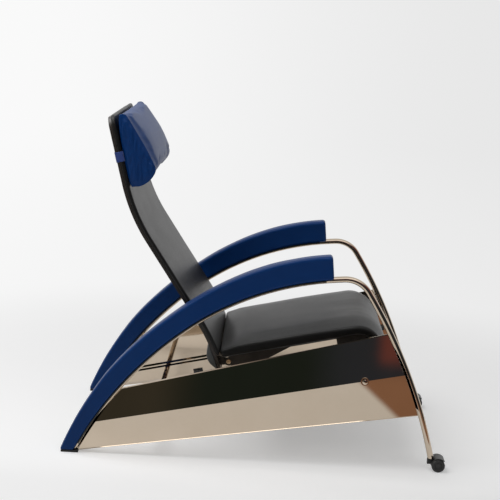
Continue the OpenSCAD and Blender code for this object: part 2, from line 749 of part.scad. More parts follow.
module slide_shoe(side, u) {
    depth = rail_depth - rail_t * 2 - slide_gap * 2;
    height = rail_h - rail_t * 2 - slide_gap * 2;
    color("ivory") on_left(side) in_rail_frame() difference() {
        translate([u, wall_y - rail_depth / 2, 0]) cube([shoe_len, depth, height], center = true);
        translate([u, rail_in_y, 0]) cross_cylinder(axle_end_d + fit * 2, rail_depth * 3);
    }
}

module hinge_pin(side) {
    arm_in = side_plate_y - side_plate_t * 1.5 - slide_gap;
    plate_out = side_plate_y + side_plate_t / 2;
    head_t = side_plate_t * 0.75;
    head_share = 1.7;
    head_d = hinge_pin_d * head_share;
    color(steel_colour) on_left(side) translate([hinge.x, 0, hinge.y]) {
        cross_cylinder(hinge_pin_d, plate_out - arm_in, (plate_out + arm_in) / 2);
        cross_cylinder(head_d, head_t, plate_out + head_t / 2);
    }
}

// Backrest
back_path = [[lumbar_r, -lumbar_turn, 0], [0, 0, back_run], [shoulder_r, shoulder_turn, 0], [0, 0, back_top_run]];
back_start = [hinge - [back_set, back_drop], back_angle];
back_half_t = back_t / 2;
board_inset = board_t / 2;
board_half_w = back_half_w - board_inset;
corner_steps = 10;

module back_board() {
    low_path = [back_path[0], back_path[1], back_path[2]];
    top = state_at(low_path, back_start, len(low_path));
    r = back_corner_r;
    w = board_half_w - seam_gap;
    l = back_top_run - board_inset;
    color(black_colour) {
        sweep(low_path, back_start) band_profile(back_half_t - board_t, back_half_t, board_half_w);
        translate([top[0].x, 0, top[0].y]) rotate([0, -top[1], 0])
            translate([0, 0, back_half_t - board_t + seam_gap]) linear_extrude(board_t - seam_gap * 2)
            polygon(concat([[-seam_lap, -w]], arc_points([l - r, r - w], r, -quarter, 0, corner_steps),
                arc_points([l - r, w - r], r, 0, quarter, corner_steps), [[-seam_lap, w]]));
    }
}

// Half of the backrest pad's section: share of the half width, share of the thickness
back_side_shares = [[0.975, 0], [0.99, 0.25], [1, 0.55], [0.99, 0.82], [0.95, 0.96], [0.80, 0.99], [0.45, 1]];
back_rings = 34;
back_end_share = 0.7;

function back_width(s, l) =
    let (d = l - s) d >= back_corner_r ? back_half_w
        : back_half_w - back_corner_r + sqrt(max(0, back_corner_r * back_corner_r - pow(back_corner_r - d, 2)));

module back_pad() {
    l = path_length(back_path);
    t = back_t - board_t - soft_gap;
    corner_turn = 84;
    corner_rings = 6;
    steps = concat([for (i = [0:back_rings]) pad_start + (l - back_corner_r - pad_start) * i / back_rings],
        [for (i = [1:corner_rings]) l - back_corner_r + back_corner_r * sin(corner_turn * i / corner_rings)]);
    color([0.2, 0.2, 0.21]) skin([for (s = steps)
        let (at = locate(back_path, back_start, s), room = min(1, min(s - pad_start, l - s) / t),
            end = back_end_share + (1 - back_end_share) * room,
            rear = back_half_t - board_t - soft_gap,
            half = [for (q = back_side_shares) [q.x * back_width(s, l), rear - q.y * t * end]],
            ring = concat(half, [for (k = [len(half) - 1:-1:0]) [-half[k].x, half[k].y]]))
        [for (q = ring) let (p = at[0] + q.y * left_of(at[1])) [p.x, q.x, p.y]]]);
}

// Lens-shaped bolster that follows the board's curve
module back_bolster() {
    at = locate(back_path, back_start, bolster_h / 2);
    r = (bolster_h * bolster_h / 4 + bolster_t * bolster_t) / bolster_t / 2;
    color([0.3, 0.31, 0.32]) translate([at[0].x, board_half_w, at[0].y]) rotate([quarter, 0, 0])
        rotate([0, 0, at[1]]) linear_extrude(board_half_w * 2) intersection() {
            translate([0, back_half_t + bolster_t - r]) circle(r = r, $fn = 180);
            translate([0, lumbar_r]) circle(r = lumbar_r - back_half_t - soft_gap, $fn = 180);
        }
}

module hinge_arm(side) {
    at = locate(back_path, back_start, hinge_eye_d);
    face = at[0] + (back_half_t - board_t) * left_of(at[1]);
    foot = hinge_eye_d;
    tilt = at[1] - quarter * 2;
    eye_steps = 16;
    color(black_colour) on_left(side) translate([0, side_plate_y - side_plate_t / 2 - slide_gap, 0])
        rotate([quarter, 0, 0]) linear_extrude(side_plate_t) difference() {
            polygon(concat(arc_points(hinge, hinge_eye_d / 2, tilt, tilt + quarter * 2, eye_steps),
                [face + foot * ahead_of(at[1]), face - foot / 2 * ahead_of(at[1])]));
            translate(hinge) circle(d = hinge_pin_d + fit * 2);
        }
}

// Headrest, in the frame of the backrest's top stretch: x up along it, z to the rear
back_top = state_at(back_path, back_start, len(back_path) - 1);
head_from = back_top_run - head_h - head_drop;
// Outline of the headrest's end: share of its height, share of its depth
head_shares = [[0.04, 0.02], [0.01, 0.165], [0, 0.335], [0.017, 0.515], [0.053, 0.705], [0.124, 0.91],
    [0.19, 0.99], [0.23, 0.98], [0.333, 0.905], [0.495, 0.755], [0.70, 0.59], [0.887, 0.46], [0.995, 0.38],
    [1, 0.20], [0.95, 0.15], [0.80, 0.08], [0.55, 0.02], [0.30, 0]];
// Steps across half the headrest: share of the half width, share of the section, share of the crown
head_step_shares = [[1, 0.93, 0], [0.985, 0.975, 0], [0.95, 1, 0.15], [0.88, 1, 0.36], [0.72, 1, 0.66],
    [0.48, 1, 0.89], [0.22, 1, 0.98], [0, 1, 1]];
// Place in the end's outline round which the ends draw in, as a share of the height
head_mid_share = 0.45;

module in_head_frame() {
    translate([back_top[0].x, 0, back_top[0].y]) rotate([0, -back_top[1], 0]) children();
}

module headrest_cushion() {
    front = -back_half_t - soft_gap;
    half = head_step_shares;
    steps = concat(half, [for (i = [len(half) - 2:-1:0]) [-half[i].x, half[i].y, half[i].z]]);
    color(blue_colour) in_head_frame() skin([for (q = steps) [for (o = head_shares)
        [head_from + head_h * (head_mid_share + (o.x - head_mid_share) * q.y), q.x * head_half_w,
            front - o.y * (head_depth * q.y + head_crown * q.z)]]]);
}

module headrest_strap() {
    half_w = back_half_w + soft_gap * 2;
    rear = back_half_t + soft_gap;
    front = -back_half_t - strap_t * 1.5;
    inner_w = head_half_w + soft_gap;
    depth = rear - front;
    color(blue_colour) in_head_frame() translate([head_from + strap_s, 0, 0]) rotate([0, quarter, 0])
        mirror([1, 0, 0]) linear_extrude(strap_w) difference() {
            translate([front - strap_t, -half_w - strap_t]) square([depth + strap_t * 2, (half_w + strap_t) * 2]);
            translate([front, -half_w]) square([depth, half_w * 2]);
            translate([front - strap_t - over, -inner_w]) square([strap_t + over * 2, inner_w * 2]);
        }
}

frame_tube(-1);  // right_frame_tube
frame_tube(1);  // left_frame_tube
castor_sleeve(-1);  // right_castor_sleeve
castor_sleeve(1);  // left_castor_sleeve
pad_strip(-1);  // right_pad_strip
pad_strip(1);  // left_pad_strip
arm_pad(-1);  // right_arm_pad
arm_pad(1);  // left_arm_pad
foot_glide(-1);  // right_foot_glide
foot_glide(1);  // left_foot_glide
flank_shell(-1);  // right_flank_shell
flank_shell(1);  // left_flank_shell
flank_wall(-1);  // right_flank_wall
flank_wall(1);  // left_flank_wall
guide_rail(-1);  // right_guide_rail
guide_rail(1);  // left_guide_rail
rail_stop(-1);  // right_rail_stop
rail_stop(1);  // left_rail_stop
wall_bracket(-1);  // right_wall_bracket
wall_bracket(1);  // left_wall_bracket
ridge_bolt(-1);  // right_ridge_bolt
ridge_bolt(1);  // left_ridge_bolt
cross_tube(-rear_cross_x, rear_cross_z, rear_cross_d);  // rear_cross_tube
cross_tube(front_cross_x, front_cross_z, front_cross_d);  // front_cross_tube
castor_housing(-1);  // right_castor_housing
castor_housing(1);  // left_castor_housing
castor_axle(-1);  // right_castor_axle
castor_axle(1);  // left_castor_axle
castor_wheel(-1, -1);  // right_castor_outer_wheel
castor_wheel(1, 1);  // left_castor_outer_wheel
castor_wheel(-1, 1);  // right_castor_inner_wheel
castor_wheel(1, -1);  // left_castor_inner_wheel
seat_plate(-1);  // right_seat_plate
seat_cheek(-1);  // right_seat_cheek
seat_plate(1);  // left_seat_plate
seat_cheek(1);  // left_seat_cheek
seat_shell();
seat_cushion();
axle(front_axle_x);  // front_axle
axle(rear_axle_x);  // rear_axle
slide_shoe(-1, front_axle_x);  // right_front_shoe
slide_shoe(1, front_axle_x);  // left_front_shoe
slide_shoe(-1, rear_axle_x);  // right_rear_shoe
slide_shoe(1, rear_axle_x);  // left_rear_shoe
hinge_pin(-1);  // right_hinge_pin
hinge_pin(1);  // left_hinge_pin
back_board();
back_pad();
back_bolster();
hinge_arm(-1);  // right_hinge_arm
hinge_arm(1);  // left_hinge_arm
headrest_cushion();
headrest_strap();
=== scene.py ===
import bpy
import bmesh
import json
import math
from mathutils import Matrix, Vector, noise


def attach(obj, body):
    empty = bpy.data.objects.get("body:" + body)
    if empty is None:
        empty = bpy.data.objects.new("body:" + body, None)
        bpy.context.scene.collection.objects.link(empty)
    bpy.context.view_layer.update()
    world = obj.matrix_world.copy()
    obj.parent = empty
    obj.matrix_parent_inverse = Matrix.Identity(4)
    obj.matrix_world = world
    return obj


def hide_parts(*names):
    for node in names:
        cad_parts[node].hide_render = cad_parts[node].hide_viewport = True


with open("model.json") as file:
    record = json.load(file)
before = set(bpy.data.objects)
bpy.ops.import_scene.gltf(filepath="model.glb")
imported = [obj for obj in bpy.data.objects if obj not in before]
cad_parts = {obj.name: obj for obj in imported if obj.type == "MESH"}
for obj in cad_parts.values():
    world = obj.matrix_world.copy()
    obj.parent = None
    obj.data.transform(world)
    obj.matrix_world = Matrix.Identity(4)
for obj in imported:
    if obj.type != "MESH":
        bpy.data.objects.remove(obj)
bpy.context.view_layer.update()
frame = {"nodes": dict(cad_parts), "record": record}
nodes = frame["nodes"]
print("frame loaded with", len(nodes), "nodes")

# Camera: the photograph's long lens, a little above the arms and slightly rolled
cameraSet = {
    "lens": 91.03, "sensor": 36.0, "place": (0.0032, -3.9086, 1.3416),
    "yaw": -0.667, "pitch": 11.01, "roll": 2.952,
}


def makeCamera(s):
    data = bpy.data.cameras.new("studioCamera")
    data.lens = s["lens"]
    data.sensor_width = s["sensor"]
    cam = bpy.data.objects.new("studioCamera", data)
    bpy.context.scene.collection.objects.link(cam)
    turn = Matrix.Rotation(math.radians(-s["yaw"]), 4, "Z")
    tilt = Matrix.Rotation(math.radians(90 - s["pitch"]), 4, "X")
    roll = Matrix.Rotation(math.radians(s["roll"]), 4, "Z")
    cam.matrix_world = Matrix.Translation(s["place"]) @ turn @ tilt @ roll
    bpy.context.scene.camera = cam


makeCamera(cameraSet)
print("camera placed")

# Centre lines in the plane of X and Z, in metres and degrees: start x, z and heading, then legs of radius,
# turn and length. A positive turn bends to the right. Each follows the same line as the frame's own piece.
archLine = {
    "start": (-0.532, 0.009, 63.7),
    "legs": [(1.1, 26.3, 0), (0.85, 32.0, 0), (0, 0, 0.018), (0.08, 62.0, 0), (1.615, 19.5, 0)],
}
backLine = {
    "start": (-0.1053, 0.256, 108.0),
    "legs": [(0.611, -16.2, 0), (0, 0, 0.279), (0.536, 19.6, 0), (0, 0, 0.202)],
}
seatLine = {
    "start": (-0.10583, 0.29299, 13.3),
    "legs": [(0, 0, 0.407), (0.045, 82.0, 0), (0, 0, 0.104)],
}


def legLength(leg):
    radius, turn, length = leg
    return length if radius == 0 else radius * math.radians(abs(turn))


def lineLength(line):
    return sum(legLength(leg) for leg in line["legs"])


def leftOf(heading):
    a = math.radians(heading)
    return Vector((-math.sin(a), 0, math.cos(a)))


def aheadOf(heading):
    a = math.radians(heading)
    return Vector((math.cos(a), 0, math.sin(a)))


def alongLine(line, distance):
    # place and heading at a distance along a centre line, straight on past either end
    x, z, heading = line["start"]
    spot = Vector((x, 0, z))
    if distance < 0:
        return spot + distance * aheadOf(heading), heading
    for leg in line["legs"]:
        radius, turn, length = leg
        reach = legLength(leg)
        step = min(distance, reach)
        if radius == 0:
            spot = spot + step * aheadOf(heading)
        else:
            side = math.copysign(1, turn)
            centre = spot - side * radius * leftOf(heading)
            heading = heading - turn * step / reach
            spot = centre + side * radius * leftOf(heading)
        distance -= step
        if distance <= 1e-9:
            return spot, heading
    return spot + distance * aheadOf(heading), heading


def bendOnto(bm, line, side=0.0):
    # a straight form (x along, y across, z off the line) is laid along a centre line
    for v in bm.verts:
        spot, heading = alongLine(line, v.co.x)
        v.co = spot + v.co.z * leftOf(heading) + Vector((0, v.co.y + side, 0))


def smoothStep(low, high, value):
    t = min(max((value - low) / (high - low), 0.0), 1.0)
    return t * t * (3 - 2 * t)


def softNoise(v, scale):
    # smooth noise over a form's x and y; the scale's third number picks the pattern
    return noise.noise(Vector((v.co.x * scale[0], v.co.y * scale[1], scale[2])))


def mixShares(shares, t):
    # the value at t, 0 to 1, in a row of evenly spaced shares
    t = min(max(t, 0.0), 1.0) * (len(shares) - 1)
    i = min(int(t), len(shares) - 2)
    return shares[i] + (shares[i + 1] - shares[i]) * (t - i)


# Shared shader groups


def newGroup(name, inputs, outputs):
    group = bpy.data.node_groups.new(name, "ShaderNodeTree")
    for label, kind, value in inputs:
        socket = group.interface.new_socket(name=label, in_out="INPUT", socket_type=kind)
        socket.default_value = value
    for label, kind in outputs:
        group.interface.new_socket(name=label, in_out="OUTPUT", socket_type=kind)
    start = group.nodes.new("NodeGroupInput")
    end = group.nodes.new("NodeGroupOutput")
    return group, start, end


def addNode(tree, kind, **settings):
    node = tree.nodes.new(kind)
    for key, value in settings.items():
        setattr(node, key, value)
    return node


def mathNode(tree, operation, a, b=None, clamp=False):
    node = addNode(tree, "ShaderNodeMath", operation=operation, use_clamp=clamp)
    for i, value in enumerate((a, b)):
        if value is None:
            continue
        if isinstance(value, (int, float)):
            node.inputs[i].default_value = value
        else:
            tree.links.new(value, node.inputs[i])
    return node.outputs[0]


def noiseNode(tree, vector, scale, detail=2.0, grit=0.5):
    node = addNode(tree, "ShaderNodeTexNoise")
    node.inputs["Scale"].default_value = scale
    node.inputs["Detail"].default_value = detail
    node.inputs["Roughness"].default_value = grit
    tree.links.new(vector, node.inputs["Vector"])
    return node.outputs["Fac"]


grainSet = {"pebble": 620.0, "crease": 22.0, "creaseDetail": 5.0, "broadScale": 5.0, "broadDetail": 2.0,
            "pebbleHeight": 0.45, "creaseHeight": 0.7, "broadTone": 0.6, "creaseTone": 0.4}


def makeGrainGroup(s):
    # leather: small pebbles and creases for the height, creases and broad patches for the tone
    group, start, end = newGroup(
        "hideGrain",
        [("Pebble", "NodeSocketFloat", s["pebble"]), ("Crease", "NodeSocketFloat", s["crease"])],
        [("Height", "NodeSocketFloat"), ("Tone", "NodeSocketFloat")])
    links = group.links
    coords = addNode(group, "ShaderNodeTexCoord").outputs["Object"]
    cells = addNode(group, "ShaderNodeTexVoronoi", feature="F1")
    links.new(coords, cells.inputs["Vector"])
    links.new(start.outputs["Pebble"], cells.inputs["Scale"])
    creases = addNode(group, "ShaderNodeTexNoise")
    creases.inputs["Detail"].default_value = s["creaseDetail"]
    links.new(coords, creases.inputs["Vector"])
    links.new(start.outputs["Crease"], creases.inputs["Scale"])
    broad = noiseNode(group, coords, s["broadScale"], s["broadDetail"])
    pebbles = mathNode(group, "MULTIPLY", cells.outputs["Distance"], s["pebbleHeight"])
    folds = mathNode(group, "MULTIPLY", creases.outputs["Fac"], s["creaseHeight"])
    links.new(mathNode(group, "ADD", pebbles, folds), end.inputs["Height"])
    mixed = mathNode(group, "ADD", mathNode(group, "MULTIPLY", broad, s["broadTone"]),
                     mathNode(group, "MULTIPLY", creases.outputs["Fac"], s["creaseTone"]))
    links.new(mixed, end.inputs["Tone"])
    return group


wearSet = {"reach": 0.04, "level": 0.5, "scale": 60.0, "detail": 4.0, "gain": 1.6}


def makeWearGroup(s):
    # a mask that is 1 on outside edges and 0 elsewhere, broken up a little; level is the pointiness of a flat
    group, start, end = newGroup(
        "edgeRub", [("Reach", "NodeSocketFloat", s["reach"])], [("Mask", "NodeSocketFloat")])
    links = group.links
    shape = addNode(group, "ShaderNodeNewGeometry")
    coords = addNode(group, "ShaderNodeTexCoord").outputs["Object"]
    edge = mathNode(group, "SUBTRACT", shape.outputs["Pointiness"], s["level"])
    edge = mathNode(group, "DIVIDE", edge, start.outputs["Reach"], clamp=True)
    patches = noiseNode(group, coords, s["scale"], s["detail"])
    broken = mathNode(group, "MULTIPLY", patches, s["gain"], clamp=True)
    links.new(mathNode(group, "MULTIPLY", edge, broken, clamp=True), end.inputs["Mask"])
    return group


dustSet = {"amount": 0.1, "scale": 14.0, "detail": 5.0, "grit": 0.6}


def makeDustGroup(s):
    # thin dust that settles on what faces up
    group, start, end = newGroup(
        "restingDust", [("Amount", "NodeSocketFloat", s["amount"])], [("Mask", "NodeSocketFloat")])
    links = group.links
    shape = addNode(group, "ShaderNodeNewGeometry")
    split = addNode(group, "ShaderNodeSeparateXYZ")
    links.new(shape.outputs["Normal"], split.inputs[0])
    coords = addNode(group, "ShaderNodeTexCoord").outputs["Object"]
    facing = mathNode(group, "MAXIMUM", split.outputs["Z"], 0.0)
    patch = mathNode(group, "MULTIPLY", noiseNode(group, coords, s["scale"], s["detail"], s["grit"]), facing)
    links.new(mathNode(group, "MULTIPLY", patch, start.outputs["Amount"], clamp=True), end.inputs["Mask"])
    return group


smudgeSet = {"base": 0.03, "spread": 0.04, "stretch": (3.0, 3.0, 60.0), "lineScale": 6.0, "lineDetail": 3.0,
             "handScale": 9.0, "handDetail": 4.0, "handGrit": 0.6, "waveScale": 4.0, "waveDetail": 1.0}


def makeSmudgeGroup(s):
    # polished metal: faint buffing lines and hand marks for roughness and tone
    group, start, end = newGroup(
        "buffMarks", [("Base", "NodeSocketFloat", s["base"]), ("Spread", "NodeSocketFloat", s["spread"])],
        [("Roughness", "NodeSocketFloat"), ("Tone", "NodeSocketFloat"), ("Height", "NodeSocketFloat")])
    links = group.links
    coords = addNode(group, "ShaderNodeTexCoord").outputs["Object"]
    stretch = addNode(group, "ShaderNodeMapping")
    stretch.inputs["Scale"].default_value = s["stretch"]
    links.new(coords, stretch.inputs["Vector"])
    lines = noiseNode(group, stretch.outputs["Vector"], s["lineScale"], s["lineDetail"])
    hands = noiseNode(group, coords, s["handScale"], s["handDetail"], s["handGrit"])
    both = mathNode(group, "MULTIPLY", lines, hands)
    spread = mathNode(group, "MULTIPLY", both, start.outputs["Spread"])
    links.new(mathNode(group, "ADD", spread, start.outputs["Base"]), end.inputs["Roughness"])
    links.new(hands, end.inputs["Tone"])
    links.new(noiseNode(group, coords, s["waveScale"], s["waveDetail"]), end.inputs["Height"])
    return group


grainGroup = makeGrainGroup(grainSet)
wearGroup = makeWearGroup(wearSet)
dustGroup = makeDustGroup(dustSet)
smudgeGroup = makeSmudgeGroup(smudgeSet)


def placeGroup(tree, group, **values):
    node = addNode(tree, "ShaderNodeGroup")
    node.node_tree = group
    for label, value in values.items():
        node.inputs[label].default_value = value
    return node


def colourMix(tree, factor, first, second):
    node = addNode(tree, "ShaderNodeMix", data_type="RGBA")
    if isinstance(factor, (int, float)):
        node.inputs["Factor"].default_value = factor
    else:
        tree.links.new(factor, node.inputs["Factor"])
    for socket, value in ((node.inputs[6], first), (node.inputs[7], second)):
        if isinstance(value, tuple):
            socket.default_value = (*value, 1.0)
        else:
            tree.links.new(value, socket)
    return node.outputs[2]


def newMaterial(name, roughness=0.5, metallic=0.0, coat=0.0, coatRough=0.2, specular=0.5):
    material = bpy.data.materials.new(name)
    material.use_nodes = True
    tree = material.node_tree
    shader = tree.nodes["Principled BSDF"]
    shader.inputs["Roughness"].default_value = roughness
    shader.inputs["Metallic"].default_value = metallic
    shader.inputs["Coat Weight"].default_value = coat
    shader.inputs["Coat Roughness"].default_value = coatRough
    shader.inputs["Specular IOR Level"].default_value = specular
    return material, tree, shader


def addBump(tree, shader, height, distance, strength=1.0):
    bump = addNode(tree, "ShaderNodeBump")
    bump.inputs["Distance"].default_value = distance
    bump.inputs["Strength"].default_value = strength
    tree.links.new(height, bump.inputs["Height"])
    tree.links.new(bump.outputs["Normal"], shader.inputs["Normal"])


def makeLeather(name, s):
    material, tree, shader = newMaterial(name, s["roughness"], coat=s["coat"], coatRough=s["coatRough"],
                                         specular=s["specular"])
    grain = placeGroup(tree, grainGroup, Pebble=s["pebble"], Crease=s["crease"])
    wear = placeGroup(tree, wearGroup, Reach=s["reach"])
    dust = placeGroup(tree, dustGroup, Amount=s["dust"])
    base = colourMix(tree, grain.outputs["Tone"], s["dark"], s["light"])
    rubbed = colourMix(tree, mathNode(tree, "MULTIPLY", wear.outputs["Mask"], s["wear"]), base, s["rubbed"])
    dusty = colourMix(tree, dust.outputs["Mask"], rubbed, s["dustTone"])
    tree.links.new(dusty, shader.inputs["Base Color"])
    rough = mathNode(tree, "ADD", mathNode(tree, "MULTIPLY", grain.outputs["Tone"], s["roughSpread"]),
                     s["roughness"] - s["roughSpread"] / 2)
    tree.links.new(rough, shader.inputs["Roughness"])
    addBump(tree, shader, grain.outputs["Height"], s["bump"])
    return material


def makeNickel(name, s):
    material, tree, shader = newMaterial(name, s["roughness"], metallic=1.0)
    marks = placeGroup(tree, smudgeGroup, Base=s["roughness"], Spread=s["spread"])
    base = colourMix(tree, marks.outputs["Tone"], s["dark"], s["light"])
    tree.links.new(base, shader.inputs["Base Color"])
    tree.links.new(marks.outputs["Roughness"], shader.inputs["Roughness"])
    addBump(tree, shader, marks.outputs["Height"], s["bump"])
    return material


plainSet = {"coat": 0.0, "wear": 0.3, "reach": 0.06, "dust": 0.08, "dustTone": (0.4, 0.38, 0.36),
            "detail": 4.0, "grit": 0.6, "roughSpread": 0.2}


def makePlain(name, changes):
    # moulded plastic, rubber, paint and stained wood: tone, fine texture, rubbed edges and dust
    s = {**plainSet, **changes}
    material, tree, shader = newMaterial(name, s["roughness"], coat=s["coat"])
    coords = addNode(tree, "ShaderNodeTexCoord").outputs["Object"]
    if "stretch" in s:
        mapping = addNode(tree, "ShaderNodeMapping")
        mapping.inputs["Scale"].default_value = s["stretch"]
        tree.links.new(coords, mapping.inputs["Vector"])
        coords = mapping.outputs["Vector"]
    texture = noiseNode(tree, coords, s["scale"], s["detail"], s["grit"])
    wear = placeGroup(tree, wearGroup, Reach=s["reach"])
    dust = placeGroup(tree, dustGroup, Amount=s["dust"])
    base = colourMix(tree, texture, s["dark"], s["light"])
    rubbed = colourMix(tree, mathNode(tree, "MULTIPLY", wear.outputs["Mask"], s["wear"]), base, s["rubbed"])
    dusty = colourMix(tree, dust.outputs["Mask"], rubbed, s["dustTone"])
    tree.links.new(dusty, shader.inputs["Base Color"])
    rough = mathNode(tree, "ADD", mathNode(tree, "MULTIPLY", texture, s["roughSpread"]),
                     s["roughness"] - s["roughSpread"] / 2)
    tree.links.new(rough, shader.inputs["Roughness"])
    addBump(tree, shader, texture, s["bump"])
    return material


def makeWebbing(name, s):
    # woven strap: two crossed sets of threads
    material, tree, shader = newMaterial(name, s["roughness"])
    shader.inputs["Sheen Weight"].default_value = s["sheen"]
    coords = addNode(tree, "ShaderNodeTexCoord").outputs["Object"]
    waves = []
    for axis in ("Y", "Z"):
        wave = addNode(tree, "ShaderNodeTexWave", wave_type="BANDS", bands_direction=axis)
        wave.inputs["Scale"].default_value = s["threads"]
        tree.links.new(coords, wave.inputs["Vector"])
        waves.append(wave.outputs["Fac"])
    weave = mathNode(tree, "MULTIPLY", mathNode(tree, "ADD", *waves), 0.5)
    base = colourMix(tree, weave, s["dark"], s["light"])
    tree.links.new(base, shader.inputs["Base Color"])
    addBump(tree, shader, weave, s["bump"])
    return material


nickelSet = {"roughness": 0.025, "spread": 0.05, "dark": (0.53, 0.44, 0.34), "light": (0.60, 0.51, 0.41),
             "bump": 0.0002}
blueSet = {"roughness": 0.40, "roughSpread": 0.1, "coat": 0.0, "coatRough": 0.3, "specular": 0.16,
           "pebble": 720.0, "crease": 26.0, "dust": 0.03, "dustTone": (0.35, 0.34, 0.33),
           "wear": 0.25, "reach": 0.05, "dark": (0.0002, 0.026, 0.125), "light": (0.0004, 0.038, 0.170),
           "rubbed": (0.002, 0.055, 0.22), "bump": 0.00035}
blackSet = {"roughness": 0.38, "roughSpread": 0.12, "coat": 0.02, "coatRough": 0.3, "specular": 0.19,
            "pebble": 560.0, "crease": 20.0, "dust": 0.05, "dustTone": (0.35, 0.34, 0.33),
            "wear": 0.2, "reach": 0.05, "dark": (0.006, 0.006, 0.006), "light": (0.012, 0.012, 0.0115),
            "rubbed": (0.03, 0.029, 0.028), "bump": 0.0004}
# the bolster's hide: the black hide's settings with a lighter grey tone
lightenedBlackSet = {**blackSet, "dark": (0.085, 0.09, 0.092), "light": (0.12, 0.125, 0.125),
           "rubbed": (0.09, 0.09, 0.09)}
webbingSet = {"roughness": 0.7, "sheen": 0.3, "threads": 260.0, "dark": (0.004, 0.022, 0.13),
              "light": (0.01, 0.05, 0.26), "bump": 0.0003}
rubberSet = {"roughness": 0.7, "scale": 240.0, "dark": (0.008, 0.008, 0.008), "light": (0.02, 0.02, 0.02),
             "rubbed": (0.05, 0.05, 0.05), "bump": 0.0001}
stripSet = {"roughness": 0.5, "scale": 160.0, "dark": (0.006, 0.006, 0.006), "light": (0.014, 0.014, 0.014),
            "rubbed": (0.04, 0.04, 0.04), "bump": 0.00006}
plasticSet = {"roughness": 0.45, "scale": 420.0, "dark": (0.007, 0.007, 0.007),
              "light": (0.016, 0.016, 0.016), "rubbed": (0.05, 0.05, 0.05), "bump": 0.00005}
enamelSet = {"roughness": 0.38, "scale": 300.0, "dark": (0.008, 0.008, 0.008), "light": (0.018, 0.018, 0.018),
             "rubbed": (0.12, 0.11, 0.1), "bump": 0.00004}
treadSet = {"roughness": 0.55, "scale": 200.0, "dark": (0.008, 0.008, 0.008), "light": (0.02, 0.02, 0.02),
            "rubbed": (0.06, 0.06, 0.06), "dust": 0.15, "bump": 0.00008}
plySet = {"roughness": 0.42, "scale": 30.0, "stretch": (1.0, 1.0, 8.0), "dark": (0.007, 0.006, 0.006),
          "light": (0.018, 0.016, 0.014), "rubbed": (0.08, 0.06, 0.045), "coat": 0.15, "bump": 0.00012}
nylonSet = {"roughness": 0.5, "scale": 150.0, "dark": (0.55, 0.52, 0.44), "light": (0.66, 0.63, 0.55),
            "rubbed": (0.75, 0.72, 0.65), "bump": 0.00004}

finishes = {
    "polished_steel": makeNickel("polishedNickel", nickelSet),
    "blue_leather": makeLeather("blueHide", blueSet),
    "black_leather": makeLeather("blackHide", blackSet),
    "grey_leather": makeLeather("lightenedBlackHide", lightenedBlackSet),
    "blue_strap": makeWebbing("blueWebbing", webbingSet),
    "black_rubber": makePlain("softRubber", rubberSet),
    "black_strip": makePlain("stripPlastic", stripSet),
    "black_plastic": makePlain("mouldedBlack", plasticSet),
    "black_metal": makePlain("blackEnamel", enamelSet),
    "castor_tyre": makePlain("treadRubber", treadSet),
    "black_plywood": makePlain("stainedPly", plySet),
    "ivory_nylon": makePlain("ivoryNylon", nylonSet),
}
for part in frame["record"]["subparts"]:
    for holder in nodes[part["node"]].material_slots:
        holder.material = finishes[part["material_slot"]]
print("finishes made:", len(finishes))


# Common steps for new pieces


def makePiece(bm, name, slot, body, replaced=(), sharp=80.0, subdivisions=0):
    bmesh.ops.recalc_face_normals(bm, faces=bm.faces)
    mesh = bpy.data.meshes.new(name)
    bm.to_mesh(mesh)
    bm.free()
    mesh.polygons.foreach_set("use_smooth", [True] * len(mesh.polygons))
    mesh.set_sharp_from_angle(angle=math.radians(sharp))
    piece = bpy.data.objects.new(name, mesh)
    bpy.context.scene.collection.objects.link(piece)
    mesh.materials.append(finishes[slot])
    if subdivisions:
        smoother = piece.modifiers.new("smoother", "SUBSURF")
        smoother.levels = subdivisions
        smoother.render_levels = subdivisions
    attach(piece, body)
    if replaced:
        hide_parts(*replaced)
    return piece


def cutAcross(bm, axis, places):
    normal = Vector((0, 0, 0))
    normal[axis] = 1
    for place in places:
        geometry = bm.verts[:] + bm.edges[:] + bm.faces[:]
        bmesh.ops.bisect_plane(bm, geom=geometry, dist=1e-6, plane_co=normal * place, plane_no=normal)


def evenPlaces(low, high, count):
    return [low + (high - low) * i / count for i in range(1, count)]


def roundedBlock(low, high, rounding, segments=4):
    bm = bmesh.new()
    bmesh.ops.create_cube(bm, size=1.0)
    span = [high[i] - low[i] for i in range(3)]
    bmesh.ops.scale(bm, vec=span, verts=bm.verts)
    middle = [(high[i] + low[i]) / 2 for i in range(3)]
    bmesh.ops.translate(bm, vec=middle, verts=bm.verts)
    bmesh.ops.bevel(bm, geom=bm.edges[:], offset=rounding, segments=segments, profile=0.5, affect="EDGES",
                    material=-1)
    return bm


def sweepRing(bm, edges, line, side, stepAngle=2.0, longest=0.03):
    # carries a closed ring of edges along a centre line
    x, z, heading = line["start"]
    spot = Vector((x, side, z))
    for radius, turn, length in line["legs"]:
        if radius == 0:
            made = bmesh.ops.extrude_edge_only(bm, edges=edges)["geom"]
            shift = length * aheadOf(heading)
            bmesh.ops.translate(bm, vec=shift, verts=[g for g in made if isinstance(g, bmesh.types.BMVert)])
            spot = spot + shift
        else:
            sense = math.copysign(1, turn)
            centre = spot - sense * radius * leftOf(heading)
            arc = radius * math.radians(abs(turn))
            steps = max(2, math.ceil(abs(turn) / stepAngle), math.ceil(arc / longest))
            made = bmesh.ops.spin(bm, geom=edges, cent=centre, axis=(0, 1, 0), angle=math.radians(turn),
                                  steps=steps, use_merge=False, use_duplicate=False)["geom_last"]
            heading -= turn
            spot = centre + sense * radius * leftOf(heading)
        edges = [g for g in made if isinstance(g, bmesh.types.BMEdge)]


def smoothLoop(points, steps):
    # a closed smooth curve through the given points
    count = len(points)
    loop = []
    for i in range(count):
        a, b, c, d = (Vector(points[(i + k) % count]) for k in (-1, 0, 1, 2))
        for k in range(steps):
            t = k / steps
            loop.append(0.5 * (2 * b + (c - a) * t + (2 * a - 5 * b + 4 * c - d) * t ** 2
                               + (3 * b - a - 3 * c + d) * t ** 3))
    return loop


